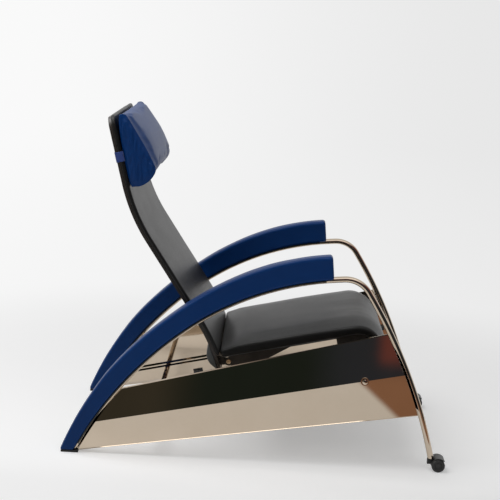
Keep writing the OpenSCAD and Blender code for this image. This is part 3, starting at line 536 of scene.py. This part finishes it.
def swellCover(bm, give, s):
    # air pressure pushes the cover out between its held seams; each point moves by its share in give, and the
    # whole shift is capped
    bmesh.ops.recalc_face_normals(bm, faces=bm.faces)
    bm.verts.index_update()
    mesh = bpy.data.meshes.new("coverCloth")
    bm.to_mesh(mesh)
    cover = bpy.data.objects.new("coverCloth", mesh)
    scene = bpy.context.scene
    scene.collection.objects.link(cover)
    held = cover.vertex_groups.new(name="heldSeams")
    held.add([v.index for v in bm.verts if give[v] < s["held"]], 1.0, "REPLACE")
    cloth = cover.modifiers.new("cover", "CLOTH")
    cloth.settings.use_pressure = True
    cloth.settings.uniform_pressure_force = s["pressure"]
    cloth.settings.vertex_group_mass = held.name
    cloth.settings.shrink_min = -s["slack"]
    cloth.settings.quality = s["quality"]
    cloth.settings.effector_weights.gravity = 0
    cloth.point_cache.frame_end = s["frames"]
    for step in range(1, s["frames"] + 1):
        scene.frame_set(step)
    shaped = cover.evaluated_get(bpy.context.evaluated_depsgraph_get())
    moved = [v.co.copy() for v in shaped.data.vertices]
    furthest = 0.0
    for v, place in zip(bm.verts, moved):
        shift = place - v.co
        furthest = max(furthest, shift.length)
        if shift.length > s["cap"]:
            shift = shift.normalized() * s["cap"]
        v.co = v.co + shift * give[v]
    bpy.data.objects.remove(cover, do_unlink=True)
    scene.frame_set(1)
    print("cover swelled, furthest point before the cap", round(furthest, 4))


# Frame tubes: smooth bent tube, because a mirror finish shows every facet
tubeSet = {"radius": 0.009, "sides": 48, "side": 0.304, "footCut": 0.0062, "legCut": 0.037}


def cutLevel(bm, height, ahead):
    # cuts the tube level with the floor, only at the foot or only at the leg
    faces = [f for f in bm.faces if (f.calc_center_median().x > 0) == ahead]
    edges = {e for f in faces for e in f.edges}
    verts = {v for f in faces for v in f.verts}
    bmesh.ops.bisect_plane(bm, geom=list(verts) + list(edges) + faces, dist=1e-6, plane_co=(0, 0, height),
                           plane_no=(0, 0, 1), clear_inner=True)


def makeTube(label, side, s):
    bm = bmesh.new()
    x, z, heading = archLine["start"]
    turn = Matrix.Translation((x, side, z)) @ Matrix.Rotation(math.radians(90 - heading), 4, "Y")
    made = bmesh.ops.create_circle(bm, cap_ends=False, segments=s["sides"], radius=s["radius"], matrix=turn)
    edges = list({e for v in made["verts"] for e in v.link_edges})
    sweepRing(bm, edges, archLine, side)
    cutLevel(bm, s["footCut"], False)
    cutLevel(bm, s["legCut"], True)
    bmesh.ops.holes_fill(bm, edges=[e for e in bm.edges if e.is_boundary], sides=0)
    makePiece(bm, label + "ArchTube", "polished_steel", "frame", [label + "_frame_tube"], sharp=50.0)


bothSides = (("right", -tubeSet["side"]), ("left", tubeSet["side"]))
for label, side in bothSides:
    makeTube(label, side, tubeSet)
print("frame tubes swept")

# Arm pads: firm leather over the tube, with a soft top edge and a welt down each side
padSet = {
    "halfWidth": 0.025, "thick": 0.070, "length": 0.968, "low": 0.0024, "edge": 0.0085, "footLow": 0.0063,
    "shares": [0.51, 0.60, 0.68, 0.76, 0.79, 0.80, 0.81, 0.84, 0.89, 0.95, 0.985, 1.0, 1.0],
    "rings": 72, "sideCuts": (-0.008, 0.008), "layers": 6, "leanParts": 6, "topNarrow": 0.03,
    "crown": 0.0016, "crownUp": (0.5, 1.0), "waist": 0.0014, "waistFrom": 0.9,
    "ripple": 0.0007, "rippleScale": (18, 30), "rippleSeed": 9, "rippleUp": (0.1, 0.6),
    "pucker": 0.0006, "pleats": (900, 9), "puckerEnd": 0.05, "puckerSide": (0.6, 0.9),
}


def makeArmPad(label, side, s):
    bm = roundedBlock((0, -s["halfWidth"], 0), (s["length"], s["halfWidth"], s["thick"]), s["edge"])
    cutAcross(bm, 0, evenPlaces(0.0, s["length"], s["rings"]))
    cutAcross(bm, 1, s["sideCuts"])
    cutAcross(bm, 2, evenPlaces(0.0, s["thick"], s["layers"]))
    steep = math.radians(archLine["start"][2])
    lean = 1 / math.tan(steep)
    leanRun = s["length"] / s["leanParts"]
    footStart = (s["footLow"] - archLine["start"][1]) / math.sin(steep)
    rippleScale = (*s["rippleScale"], side * s["rippleSeed"])
    for v in bm.verts:
        t = v.co.x / s["length"]
        up = v.co.z / s["thick"]
        across = v.co.y / s["halfWidth"]
        tall = s["thick"] * mixShares(s["shares"], t)
        hollow = s["waist"] * math.sin(math.pi * up) * (1 if abs(across) > s["waistFrom"] else 0)
        crown = s["crown"] * (1 - across * across) * smoothStep(*s["crownUp"], up)
        ripple = s["ripple"] * softNoise(v, rippleScale) * smoothStep(*s["rippleUp"], up)
        nearEnd = 1 - smoothStep(0.0, s["puckerEnd"], min(t, 1 - t))
        pleat = math.sin(v.co.y * s["pleats"][0] + up * s["pleats"][1])
        pucker = s["pucker"] * pleat * nearEnd * smoothStep(*s["puckerSide"], abs(across))
        along = footStart + v.co.x * (1 - footStart / s["length"])
        height = s["low"] + up * tall + crown + ripple
        start = along - height * lean * max(0.0, 1 - along / leanRun)
        narrowed = v.co.y * (1 - s["topNarrow"] * up)
        v.co = Vector((start, narrowed - math.copysign(hollow + pucker, v.co.y), height))
    bendOnto(bm, archLine, side)
    piece = makePiece(bm, label + "ArmCushion", "blue_leather", "frame", [label + "_arm_pad"], subdivisions=1)


for label, side in bothSides:
    makeArmPad(label, side, padSet)
print("arm pads made")

# Seat cushion with its front roll
seatSet = {
    "halfWidth": 0.248, "thick": 0.030, "low": 0.0004, "edge": 0.010, "lean": 0.176, "leanRun": 0.12,
    "rings": 60, "columns": 40, "layers": (0.35, 0.65),
    "fullness": [0.80, 0.98, 1.0, 1.0, 1.0, 1.0, 0.98, 0.95, 0.90, 0.86, 0.82, 0.80, 0.80],
    "crown": 0.012, "crownPower": 5, "crownUp": (0.3, 1.0), "endSlope": 10,
    "dent": 0.0018, "dentScale": (5.0, 5.0, 3.1), "crease": 0.0009, "creaseScale": (7.0, 26.0, 7.7),
    "creaseFrom": (0.5, 0.7), "foldUp": (0.6, 1.0), "pull": 0.0016, "pullFrom": (0.93, 1.0),
    "giveUp": (0.6, 1.0), "giveSide": (1.0, 0.8), "giveEnd": 0.1,
    "swell": {"pressure": 4.0, "slack": 0.001, "held": 0.05, "quality": 5, "frames": 20, "cap": 0.003},
}


def makeSeat(s):
    length = lineLength(seatLine)
    bm = roundedBlock((0, -s["halfWidth"], 0), (length, s["halfWidth"], s["thick"]), s["edge"])
    cutAcross(bm, 0, evenPlaces(0.0, length, s["rings"]))
    cutAcross(bm, 1, evenPlaces(-s["halfWidth"], s["halfWidth"], s["columns"]))
    cutAcross(bm, 2, [s["thick"] * share for share in s["layers"]])
    give = {}
    for v in bm.verts:
        t = v.co.x / length
        nearEnd = min(t, 1 - t)
        across = abs(v.co.y) / s["halfWidth"]
        up = v.co.z / s["thick"]
        full = mixShares(s["fullness"], t)
        crown = s["crown"] * (1 - across ** s["crownPower"]) * smoothStep(*s["crownUp"], up)
        crown *= min(1.0, nearEnd * s["endSlope"])
        dent = softNoise(v, s["dentScale"]) * s["dent"]
        crease = softNoise(v, s["creaseScale"]) * s["crease"] * smoothStep(*s["creaseFrom"], t)
        pull = s["pull"] * math.sin(math.pi * min(1, up)) * (1 - 2 * abs(t - 0.5))
        pull *= smoothStep(*s["pullFrom"], across)
        v.co.x -= v.co.z * s["lean"] * max(0.0, 1 - v.co.x / s["leanRun"])
        v.co.z = s["low"] + v.co.z * full + crown + (dent + crease) * smoothStep(*s["foldUp"], up)
        v.co.y -= math.copysign(pull, v.co.y)
        give[v] = smoothStep(*s["giveUp"], up) * smoothStep(*s["giveSide"], across)
        give[v] *= smoothStep(0.0, s["giveEnd"], nearEnd)
    swellCover(bm, give, s["swell"])
    bendOnto(bm, seatLine)
    piece = makePiece(bm, "seatPadding", "black_leather", "seat", ["seat_cushion"], subdivisions=1)


makeSeat(seatSet)
print("seat made")

# Backrest: thin leather pad over the curved board
backSet = {"halfWidth": 0.250, "halfThick": 0.011, "boardThick": 0.009, "start": 0.048, "corner": 0.035,
           "edge": 0.0055, "gap": 0.0003, "rings": 70, "columns": 30,
           "cornerCuts": (0.02, 0.06, 0.12, 0.2, 0.3, 0.45, 0.7),
           "soft": 0.0012, "softScale": (6.0, 6.0, 11.0), "dip": 0.0014, "dipPower": 6, "softUp": (0.7, 1.0)}


def narrowTop(x, y, length, halfWidth, corner):
    # rounds the two top corners by drawing the outline in
    left = length - x
    if left >= corner:
        return y
    width = halfWidth - corner + math.sqrt(max(0.0, corner ** 2 - (corner - left) ** 2))
    return y * width / halfWidth


def makeBack(s):
    length = lineLength(backLine)
    thick = 2 * s["halfThick"] - s["boardThick"] - s["gap"]
    bm = roundedBlock((s["start"], -s["halfWidth"], 0), (length, s["halfWidth"], thick), s["edge"])
    cutAcross(bm, 0, evenPlaces(s["start"], length, s["rings"]))
    cutAcross(bm, 0, [length - s["corner"] * share for share in s["cornerCuts"]])
    cutAcross(bm, 1, evenPlaces(-s["halfWidth"], s["halfWidth"], s["columns"]))
    for v in bm.verts:
        across = abs(v.co.y) / s["halfWidth"]
        out = v.co.z / thick
        soft = softNoise(v, s["softScale"]) * s["soft"]
        dip = s["dip"] * across ** s["dipPower"]
        v.co.z = -(v.co.z + (soft - dip) * smoothStep(*s["softUp"], out))
        v.co.z += s["halfThick"] - s["boardThick"] - s["gap"]
        v.co.y = narrowTop(v.co.x, v.co.y, length, s["halfWidth"], s["corner"])
    bendOnto(bm, backLine)
    piece = makePiece(bm, "backPadding", "black_leather", "backrest", ["back_pad"], subdivisions=1)


makeBack(backSet)
print("back made")

# Headrest: wedge cushion, a band round it with a welt near each edge, and two puffed end panels
headSet = {
    "halfWidth": 0.243, "height": 0.2146, "depth": 0.0855, "drop": 0.0039, "front": -0.0115,
    "steps": 5, "rows": 84, "edgeRows": (0.45, 1.0, 1.55, 2.4), "middle": (0.42, 0.44),
    "crown": 0.0150, "crownPower": 5, "crownAt": 0.58, "crownSpan": 0.34, "frontDepth": (0.05, 0.5),
    "topCrown": 0.003, "topUp": (0.85, 1.0), "giveDepth": (0.1, 0.35), "giveInward": (0.006, 0.04),
    "welt": 0.0016, "weltAt": 0.0028, "weltSpan": 0.7, "pucker": 0.0012, "puckerScale": (9.0, 14.0, 2.0),
    "puckerIn": (0.004, 0.008), "puckerOut": (0.01, 0.07),
    "outline": [(0.04, 0.02), (0.01, 0.165), (0.0, 0.335), (0.017, 0.515), (0.053, 0.705), (0.124, 0.90),
                (0.19, 0.97), (0.24, 0.96), (0.333, 0.90), (0.495, 0.785), (0.70, 0.625), (0.887, 0.475),
                (0.985, 0.37), (1.0, 0.20), (0.95, 0.12), (0.80, 0.06), (0.55, 0.02), (0.30, 0.0)],
    "panelShares": [0.985, 0.95, 0.89, 0.82, 0.74, 0.66, 0.57, 0.48, 0.38, 0.28, 0.18, 0.08],
    "endPuff": 0.008, "puffPower": 3, "endDip": 0.0015, "panelGive": 0.7, "panelGiveFrom": (1.0, 0.6),
    "wrinkle": 0.0075, "wrinkleX": (26.0, 70.0), "wrinkleY": (16.0, 9.0), "wrinkleSeed": 3.0,
    "wrinkleLevel": 0.3, "wrinkleFrom": (1.0, 0.8),
    "swell": {"pressure": 4.0, "slack": 0.015, "held": 0.05, "quality": 6, "frames": 20, "cap": 0.006},
}
headRun = 0.202  # the backrest's straight top stretch
headTop = alongLine(backLine, lineLength(backLine) - headRun)


def headPoint(x, y, z):
    # a point in the frame of the backrest's top stretch: x up along it, y across, z to the rear
    spot, heading = headTop
    return spot + x * aheadOf(heading) + z * leftOf(heading) + Vector((0, y, 0))


def makeHeadrest(s):
    low = headRun - s["drop"] - s["height"]
    half = s["halfWidth"]
    bm = bmesh.new()
    loop = smoothLoop(s["outline"], s["steps"])
    ring = [bm.verts.new((low + s["height"] * p.x, -half, s["front"] - s["depth"] * p.y)) for p in loop]
    made = bmesh.ops.extrude_face_region(bm, geom=[bm.faces.new(ring)], use_keep_orig=True)["geom"]
    far = [g for g in made if isinstance(g, bmesh.types.BMVert)]
    bmesh.ops.translate(bm, vec=(0, 2 * half, 0), verts=far)
    edgeRows = [sense * (half - s["weltAt"] * k) for sense in (-1, 1) for k in s["edgeRows"]]
    cutAcross(bm, 1, evenPlaces(-half, half, s["rows"]) + edgeRows)
    middle = Vector((low + s["height"] * s["middle"][0], 0, s["front"] - s["depth"] * s["middle"][1]))
    give = {}
    for v in bm.verts:
        inward = half - abs(v.co.y)
        across = abs(v.co.y) / half
        away = Vector((v.co.x - middle.x, 0, v.co.z - middle.z)).normalized()
        up = (v.co.x - low) / s["height"]
        depth = (s["front"] - v.co.z) / s["depth"]
        front = smoothStep(*s["frontDepth"], depth)
        give[v] = smoothStep(*s["giveDepth"], depth) * smoothStep(*s["giveInward"], inward)
        full = (1 - across ** s["crownPower"]) * front
        crown = s["crown"] * full * math.exp(-((up - s["crownAt"]) / s["crownSpan"]) ** 2)
        bead = s["welt"] * max(0.0, 1 - abs(inward - s["weltAt"]) / (s["weltAt"] * s["weltSpan"]))
        turn, along, seed = s["puckerScale"]
        folds = noise.noise(Vector((math.atan2(away.z, away.x) * turn, v.co.y * along, seed)))
        gather = folds * s["pucker"] * front
        gather *= (1 - smoothStep(*s["puckerOut"], inward)) * smoothStep(*s["puckerIn"], inward)
        v.co += away * (bead + gather)
        v.co.z -= crown
        v.co.x += s["topCrown"] * full * smoothStep(*s["topUp"], up)
    # the end panels are the only faces with more than four corners; their wrinkles run slanted
    xByX, xByZ = s["wrinkleX"]
    yByZ, yByX = s["wrinkleY"]
    for sense in (-1, 1):
        panel = next(f for f in bm.faces if len(f.verts) > 4 and f.calc_center_median().y * sense > 0)
        last = 1.0
        for share in s["panelShares"]:
            made = bmesh.ops.extrude_face_region(bm, geom=[panel])["geom"]
            panel = next(g for g in made if isinstance(g, bmesh.types.BMFace))
            for v in panel.verts:
                v.co.x = middle.x + (v.co.x - middle.x) * share / last
                v.co.z = middle.z + (v.co.z - middle.z) * share / last
                ridge = abs(noise.noise(Vector((v.co.x * xByX + v.co.z * xByZ, v.co.z * yByZ - v.co.x * yByX,
                                                sense * s["wrinkleSeed"]))))
                fold = s["wrinkle"] * (s["wrinkleLevel"] - ridge) * smoothStep(*s["wrinkleFrom"], share)
                puff = s["endPuff"] * (1 - share ** s["puffPower"])
                v.co.y = sense * (half + puff - s["endDip"] * (1 - share) + fold)
                give[v] = smoothStep(*s["panelGiveFrom"], share) * s["panelGive"]
            last = share
    swellCover(bm, give, s["swell"])
    for v in bm.verts:
        v.co = headPoint(v.co.x, v.co.y, v.co.z)
    piece = makePiece(bm, "headCushion", "blue_leather", "headrest", ["headrest_cushion"], subdivisions=1)


makeHeadrest(headSet)
print("headrest made")

# Strap: one webbing band, sewn to the headrest's sides and drawn round the back
strapSet = {"low": 0.0643, "width": 0.030, "side": 0.2510, "front": -0.0128, "rear": 0.0117, "corner": 0.004,
            "tip": 0.2455, "thick": 0.0014, "sag": 0.0004, "sagTurns": 22, "bendSteps": 5, "rearSteps": 40,
            "rows": (0.08, 0.3, 0.5, 0.7, 0.92)}


def makeStrap(s):
    def bend(centreY, centreZ, start):
        # a quarter turn at one corner
        angles = [math.radians(start + 90 * k / s["bendSteps"]) for k in range(s["bendSteps"] + 1)]
        return [(centreY + s["corner"] * math.cos(a), centreZ + s["corner"] * math.sin(a)) for a in angles]

    y, z0, z1, c = s["side"], s["front"], s["rear"], s["corner"]
    half = [(s["tip"], z0)] + bend(y - c, z0 + c, -90) + bend(y - c, z1 - c, 0)
    rear = [(y - c - (2 * y - 2 * c) * k / s["rearSteps"], z1) for k in range(1, s["rearSteps"])]
    route = half + rear + [(-a, b) for a, b in reversed(half)]
    bm = bmesh.new()
    ring = [bm.verts.new((s["low"], a, b)) for a, b in route]
    edges = [bm.edges.new(pair) for pair in zip(ring, ring[1:])]
    made = bmesh.ops.extrude_edge_only(bm, edges=edges)["geom"]
    far = [g for g in made if isinstance(g, bmesh.types.BMVert)]
    bmesh.ops.translate(bm, vec=(s["width"], 0, 0), verts=far)
    cutAcross(bm, 0, [s["low"] + s["width"] * k for k in s["rows"]])
    for v in bm.verts:
        v.co.x += s["sag"] * math.sin(v.co.y * s["sagTurns"])
        v.co = headPoint(v.co.x, v.co.y, v.co.z)
    piece = makePiece(bm, "headBand", "blue_strap", "headrest", ["headrest_strap"])
    thicken = piece.modifiers.new("webbing", "SOLIDIFY")
    thicken.thickness = s["thick"]
    thicken.offset = 0.0


makeStrap(strapSet)
print("strap made")

# Bolster behind the backrest's lower end
bolsterSet = {"halfWidth": 0.2445, "from": 0.004, "to": 0.088, "thick": 0.0222, "low": 0.0117, "edge": 0.004,
              "rings": 16, "columns": 30, "thinnest": 0.12, "endDrop": 0.08, "endPower": 8,
              "soft": 0.0012, "softScale": (12.0, 9.0, 21.0), "softUp": (0.5, 1.0)}


def makeBolster(s):
    length = s["to"] - s["from"]
    bm = roundedBlock((0, -s["halfWidth"], 0), (length, s["halfWidth"], s["thick"]), s["edge"], segments=3)
    cutAcross(bm, 0, evenPlaces(0.0, length, s["rings"]))
    cutAcross(bm, 1, evenPlaces(-s["halfWidth"], s["halfWidth"], s["columns"]))
    for v in bm.verts:
        t = v.co.x / length
        up = v.co.z / s["thick"]
        full = max(s["thinnest"], 1 - (2 * t - 1) ** 2)
        across = abs(v.co.y) / s["halfWidth"]
        soft = softNoise(v, s["softScale"]) * s["soft"] * smoothStep(*s["softUp"], up)
        v.co.x += s["from"]
        v.co.z = s["low"] + v.co.z * full * (1 - s["endDrop"] * across ** s["endPower"]) + soft
    bendOnto(bm, backLine)
    piece = makePiece(bm, "lowerBolster", "grey_leather", "backrest", ["back_bolster"], subdivisions=1)


makeBolster(bolsterSet)
print("bolster made")

# Floor, backdrop and light
stageSet = {
    "radius": 9.0, "sides": 96, "paper": (0.80, 0.80, 0.80), "roughness": 0.9, "specular": 0.1,
    "lift": 0.33, "paintedFrontShade": 0.06, "paintedShadeFrom": (-0.35, -0.6), "near": 0.75, "far": 2.2,
    "left": 0.95, "right": 0.80, "halfSpan": 2.7, "studio": (0.03, 0.03, 0.03), "studioFrom": (-1.0, -1.5),
    "brown": (0.31, 0.165, 0.10), "slant": 0.35, "standX": (0.70, 0.74), "standY": (-0.6, -0.7),
}


def paintedPaperShade(tree, value, s, halfSpan):
    # painted shade: the backdrop darkens a little from the left to the right
    tone = addNode(tree, "ShaderNodeMapRange", interpolation_type="SMOOTHSTEP")
    tone.inputs["From Min"].default_value = -halfSpan
    tone.inputs["From Max"].default_value = halfSpan
    tone.inputs["To Min"].default_value = s["left"]
    tone.inputs["To Max"].default_value = s["right"]
    tree.links.new(value, tone.inputs["Value"])
    return tone.outputs["Result"]


def rampNode(tree, value, low, high):
    ramp = addNode(tree, "ShaderNodeMapRange", interpolation_type="SMOOTHSTEP")
    ramp.inputs["From Min"].default_value = low
    ramp.inputs["From Max"].default_value = high
    tree.links.new(value, ramp.inputs["Value"])
    return ramp.outputs["Result"]


def makeFloor(s):
    bm = bmesh.new()
    bmesh.ops.create_circle(bm, cap_ends=True, segments=s["sides"], radius=s["radius"])
    mesh = bpy.data.meshes.new("studioFloor")
    bm.to_mesh(mesh)
    bm.free()
    floor = bpy.data.objects.new("studioFloor", mesh)
    bpy.context.scene.collection.objects.link(floor)
    material = bpy.data.materials.new("studioPaper")
    material.use_nodes = True
    tree = material.node_tree
    shader = tree.nodes["Principled BSDF"]
    shader.inputs["Base Color"].default_value = (*s["paper"], 1)
    shader.inputs["Roughness"].default_value = s["roughness"]
    shader.inputs["Specular IOR Level"].default_value = s["specular"]
    coords = addNode(tree, "ShaderNodeTexCoord").outputs["Object"]
    split = addNode(tree, "ShaderNodeSeparateXYZ")
    tree.links.new(coords, split.inputs[0])
    rays = addNode(tree, "ShaderNodeLightPath")
    seen = mathNode(tree, "MAXIMUM", rays.outputs["Is Camera Ray"], rays.outputs["Is Glossy Ray"])
    lift = addNode(tree, "ShaderNodeEmission")
    # painted shade: the floor's lift is turned down a little in front of the chair, for camera and glossy
    # rays
    paintedShade = mathNode(tree, "MULTIPLY", rampNode(tree, split.outputs["Y"], *s["paintedShadeFrom"]), -s["paintedFrontShade"])
    strength = mathNode(tree, "MULTIPLY", seen, mathNode(tree, "ADD", paintedShade, s["lift"]))
    tree.links.new(strength, lift.inputs["Strength"])
    nearFloor = addNode(tree, "ShaderNodeAddShader")
    tree.links.new(shader.outputs[0], nearFloor.inputs[0])
    tree.links.new(lift.outputs[0], nearFloor.inputs[1])
    # far off, the floor glows with the backdrop's painted shade, darker to the right
    glow = addNode(tree, "ShaderNodeEmission")
    tree.links.new(paintedPaperShade(tree, split.outputs["X"], s, s["halfSpan"]), glow.inputs["Strength"])
    far = addNode(tree, "ShaderNodeVectorMath", operation="LENGTH")
    tree.links.new(coords, far.inputs[0])
    mix = addNode(tree, "ShaderNodeMixShader")
    tree.links.new(rampNode(tree, far.outputs["Value"], s["near"], s["far"]), mix.inputs[0])
    tree.links.new(nearFloor.outputs[0], mix.inputs[1])
    tree.links.new(glow.outputs[0], mix.inputs[2])
    # only the mirrors see where the paper ends in front, and a brown stand beside it
    leaned = mathNode(tree, "MULTIPLY", split.outputs["Y"], s["slant"])
    aside = rampNode(tree, mathNode(tree, "SUBTRACT", split.outputs["X"], leaned), *s["standX"])
    stand = mathNode(tree, "MULTIPLY", aside, rampNode(tree, split.outputs["Y"], *s["standY"]))
    beyond = rampNode(tree, split.outputs["Y"], *s["studioFrom"])
    dark = addNode(tree, "ShaderNodeEmission")
    tree.links.new(colourMix(tree, beyond, s["brown"], s["studio"]), dark.inputs["Color"])
    hidden = mathNode(tree, "MAXIMUM", stand, beyond)
    mirrored = addNode(tree, "ShaderNodeMixShader")
    tree.links.new(mathNode(tree, "MULTIPLY", hidden, rays.outputs["Is Glossy Ray"]), mirrored.inputs[0])
    tree.links.new(mix.outputs[0], mirrored.inputs[1])
    tree.links.new(dark.outputs[0], mirrored.inputs[2])
    tree.links.new(mirrored.outputs[0], tree.nodes["Material Output"].inputs["Surface"])
    mesh.materials.append(material)


makeFloor(stageSet)

# The room that the polished metal mirrors: pale paper behind and overhead, a dark room in front
worldSet = {
    "paper": 0.88, "paperY": (-0.05, 0.30), "viewSpan": 0.21, "ceiling": 0.75, "ceilingZ": (0.5, 0.8),
    "fill": 0.16,
    "brown": (0.062, 0.057, 0.043), "green": (0.020, 0.028, 0.023), "greenX": (-0.235, -0.185),
    "blue": (0.037, 0.044, 0.058), "blueX": (-0.115, -0.075),
    "red": (0.21, 0.068, 0.058), "redX": (-0.060, -0.050), "redZ": (0.281, 0.293),
    "window": (0.62, 0.60, 0.56), "windowX": (-0.45, -0.75),
    "foldStretch": (40.0, 1.0, 3.0), "foldScale": 1.0, "foldDetail": 2.0, "foldDepth": 0.45,
    "dark": (0.004, 0.004, 0.004),
}


def makeWorld(s):
    world = bpy.data.worlds.new("studioRoom")
    bpy.context.scene.world = world
    world.use_nodes = True
    tree = world.node_tree
    background = tree.nodes["Background"]
    coords = addNode(tree, "ShaderNodeTexCoord").outputs["Generated"]
    split = addNode(tree, "ShaderNodeSeparateXYZ")
    tree.links.new(coords, split.inputs[0])
    x, y, z = split.outputs
    room = colourMix(tree, rampNode(tree, x, *s["greenX"]), s["brown"], s["green"])
    room = colourMix(tree, rampNode(tree, x, *s["blueX"]), room, s["blue"])
    patch = mathNode(tree, "MULTIPLY", rampNode(tree, x, *s["redX"]), rampNode(tree, z, *s["redZ"]))
    room = colourMix(tree, patch, room, s["red"])
    folds = addNode(tree, "ShaderNodeMapping")
    folds.inputs["Scale"].default_value = s["foldStretch"]
    tree.links.new(coords, folds.inputs["Vector"])
    shade = noiseNode(tree, folds.outputs["Vector"], s["foldScale"], s["foldDetail"])
    room = colourMix(tree, mathNode(tree, "MULTIPLY", shade, s["foldDepth"]), room, s["dark"])
    room = colourMix(tree, rampNode(tree, x, *s["windowX"]), room, s["window"])
    room = colourMix(tree, rampNode(tree, y, *s["paperY"]), room, (s["paper"],) * 3)
    room = colourMix(tree, rampNode(tree, z, *s["ceilingZ"]), room, (s["ceiling"],) * 3)
    rays = addNode(tree, "ShaderNodeLightPath")
    plain = colourMix(tree, rays.outputs["Is Glossy Ray"], (s["fill"],) * 3, room)
    # camera rays see the backdrop with its painted shade, darker to the right
    paper = addNode(tree, "ShaderNodeCombineColor")
    tone = paintedPaperShade(tree, x, stageSet, s["viewSpan"])
    for socket in paper.inputs:
        if socket.enabled and socket.type == "VALUE":
            tree.links.new(tone, socket)
    shown = colourMix(tree, rays.outputs["Is Camera Ray"], plain, paper.outputs[0])
    tree.links.new(shown, background.inputs["Color"])


makeWorld(worldSet)

lampSet = [
    {"name": "keyBox", "place": (-1.3, -0.3, 3.1), "aim": (0, 0, 0.4), "size": 2.2, "power": 61.0},
    {"name": "fillBox", "place": (1.0, -2.2, 3.2), "aim": (0, 0, 0.4), "size": 2.6, "power": 14.0},
]


def makeLamps(lamps):
    for s in lamps:
        data = bpy.data.lights.new(s["name"], "AREA")
        data.size = s["size"]
        data.energy = s["power"]
        lamp = bpy.data.objects.new(s["name"], data)
        lamp.location = s["place"]
        direction = Vector(s["aim"]) - Vector(s["place"])
        lamp.rotation_euler = direction.to_track_quat("-Z", "Y").to_euler()
        bpy.context.scene.collection.objects.link(lamp)


makeLamps(lampSet)
bpy.context.scene.view_settings.view_transform = "Standard"
print("stage lit")
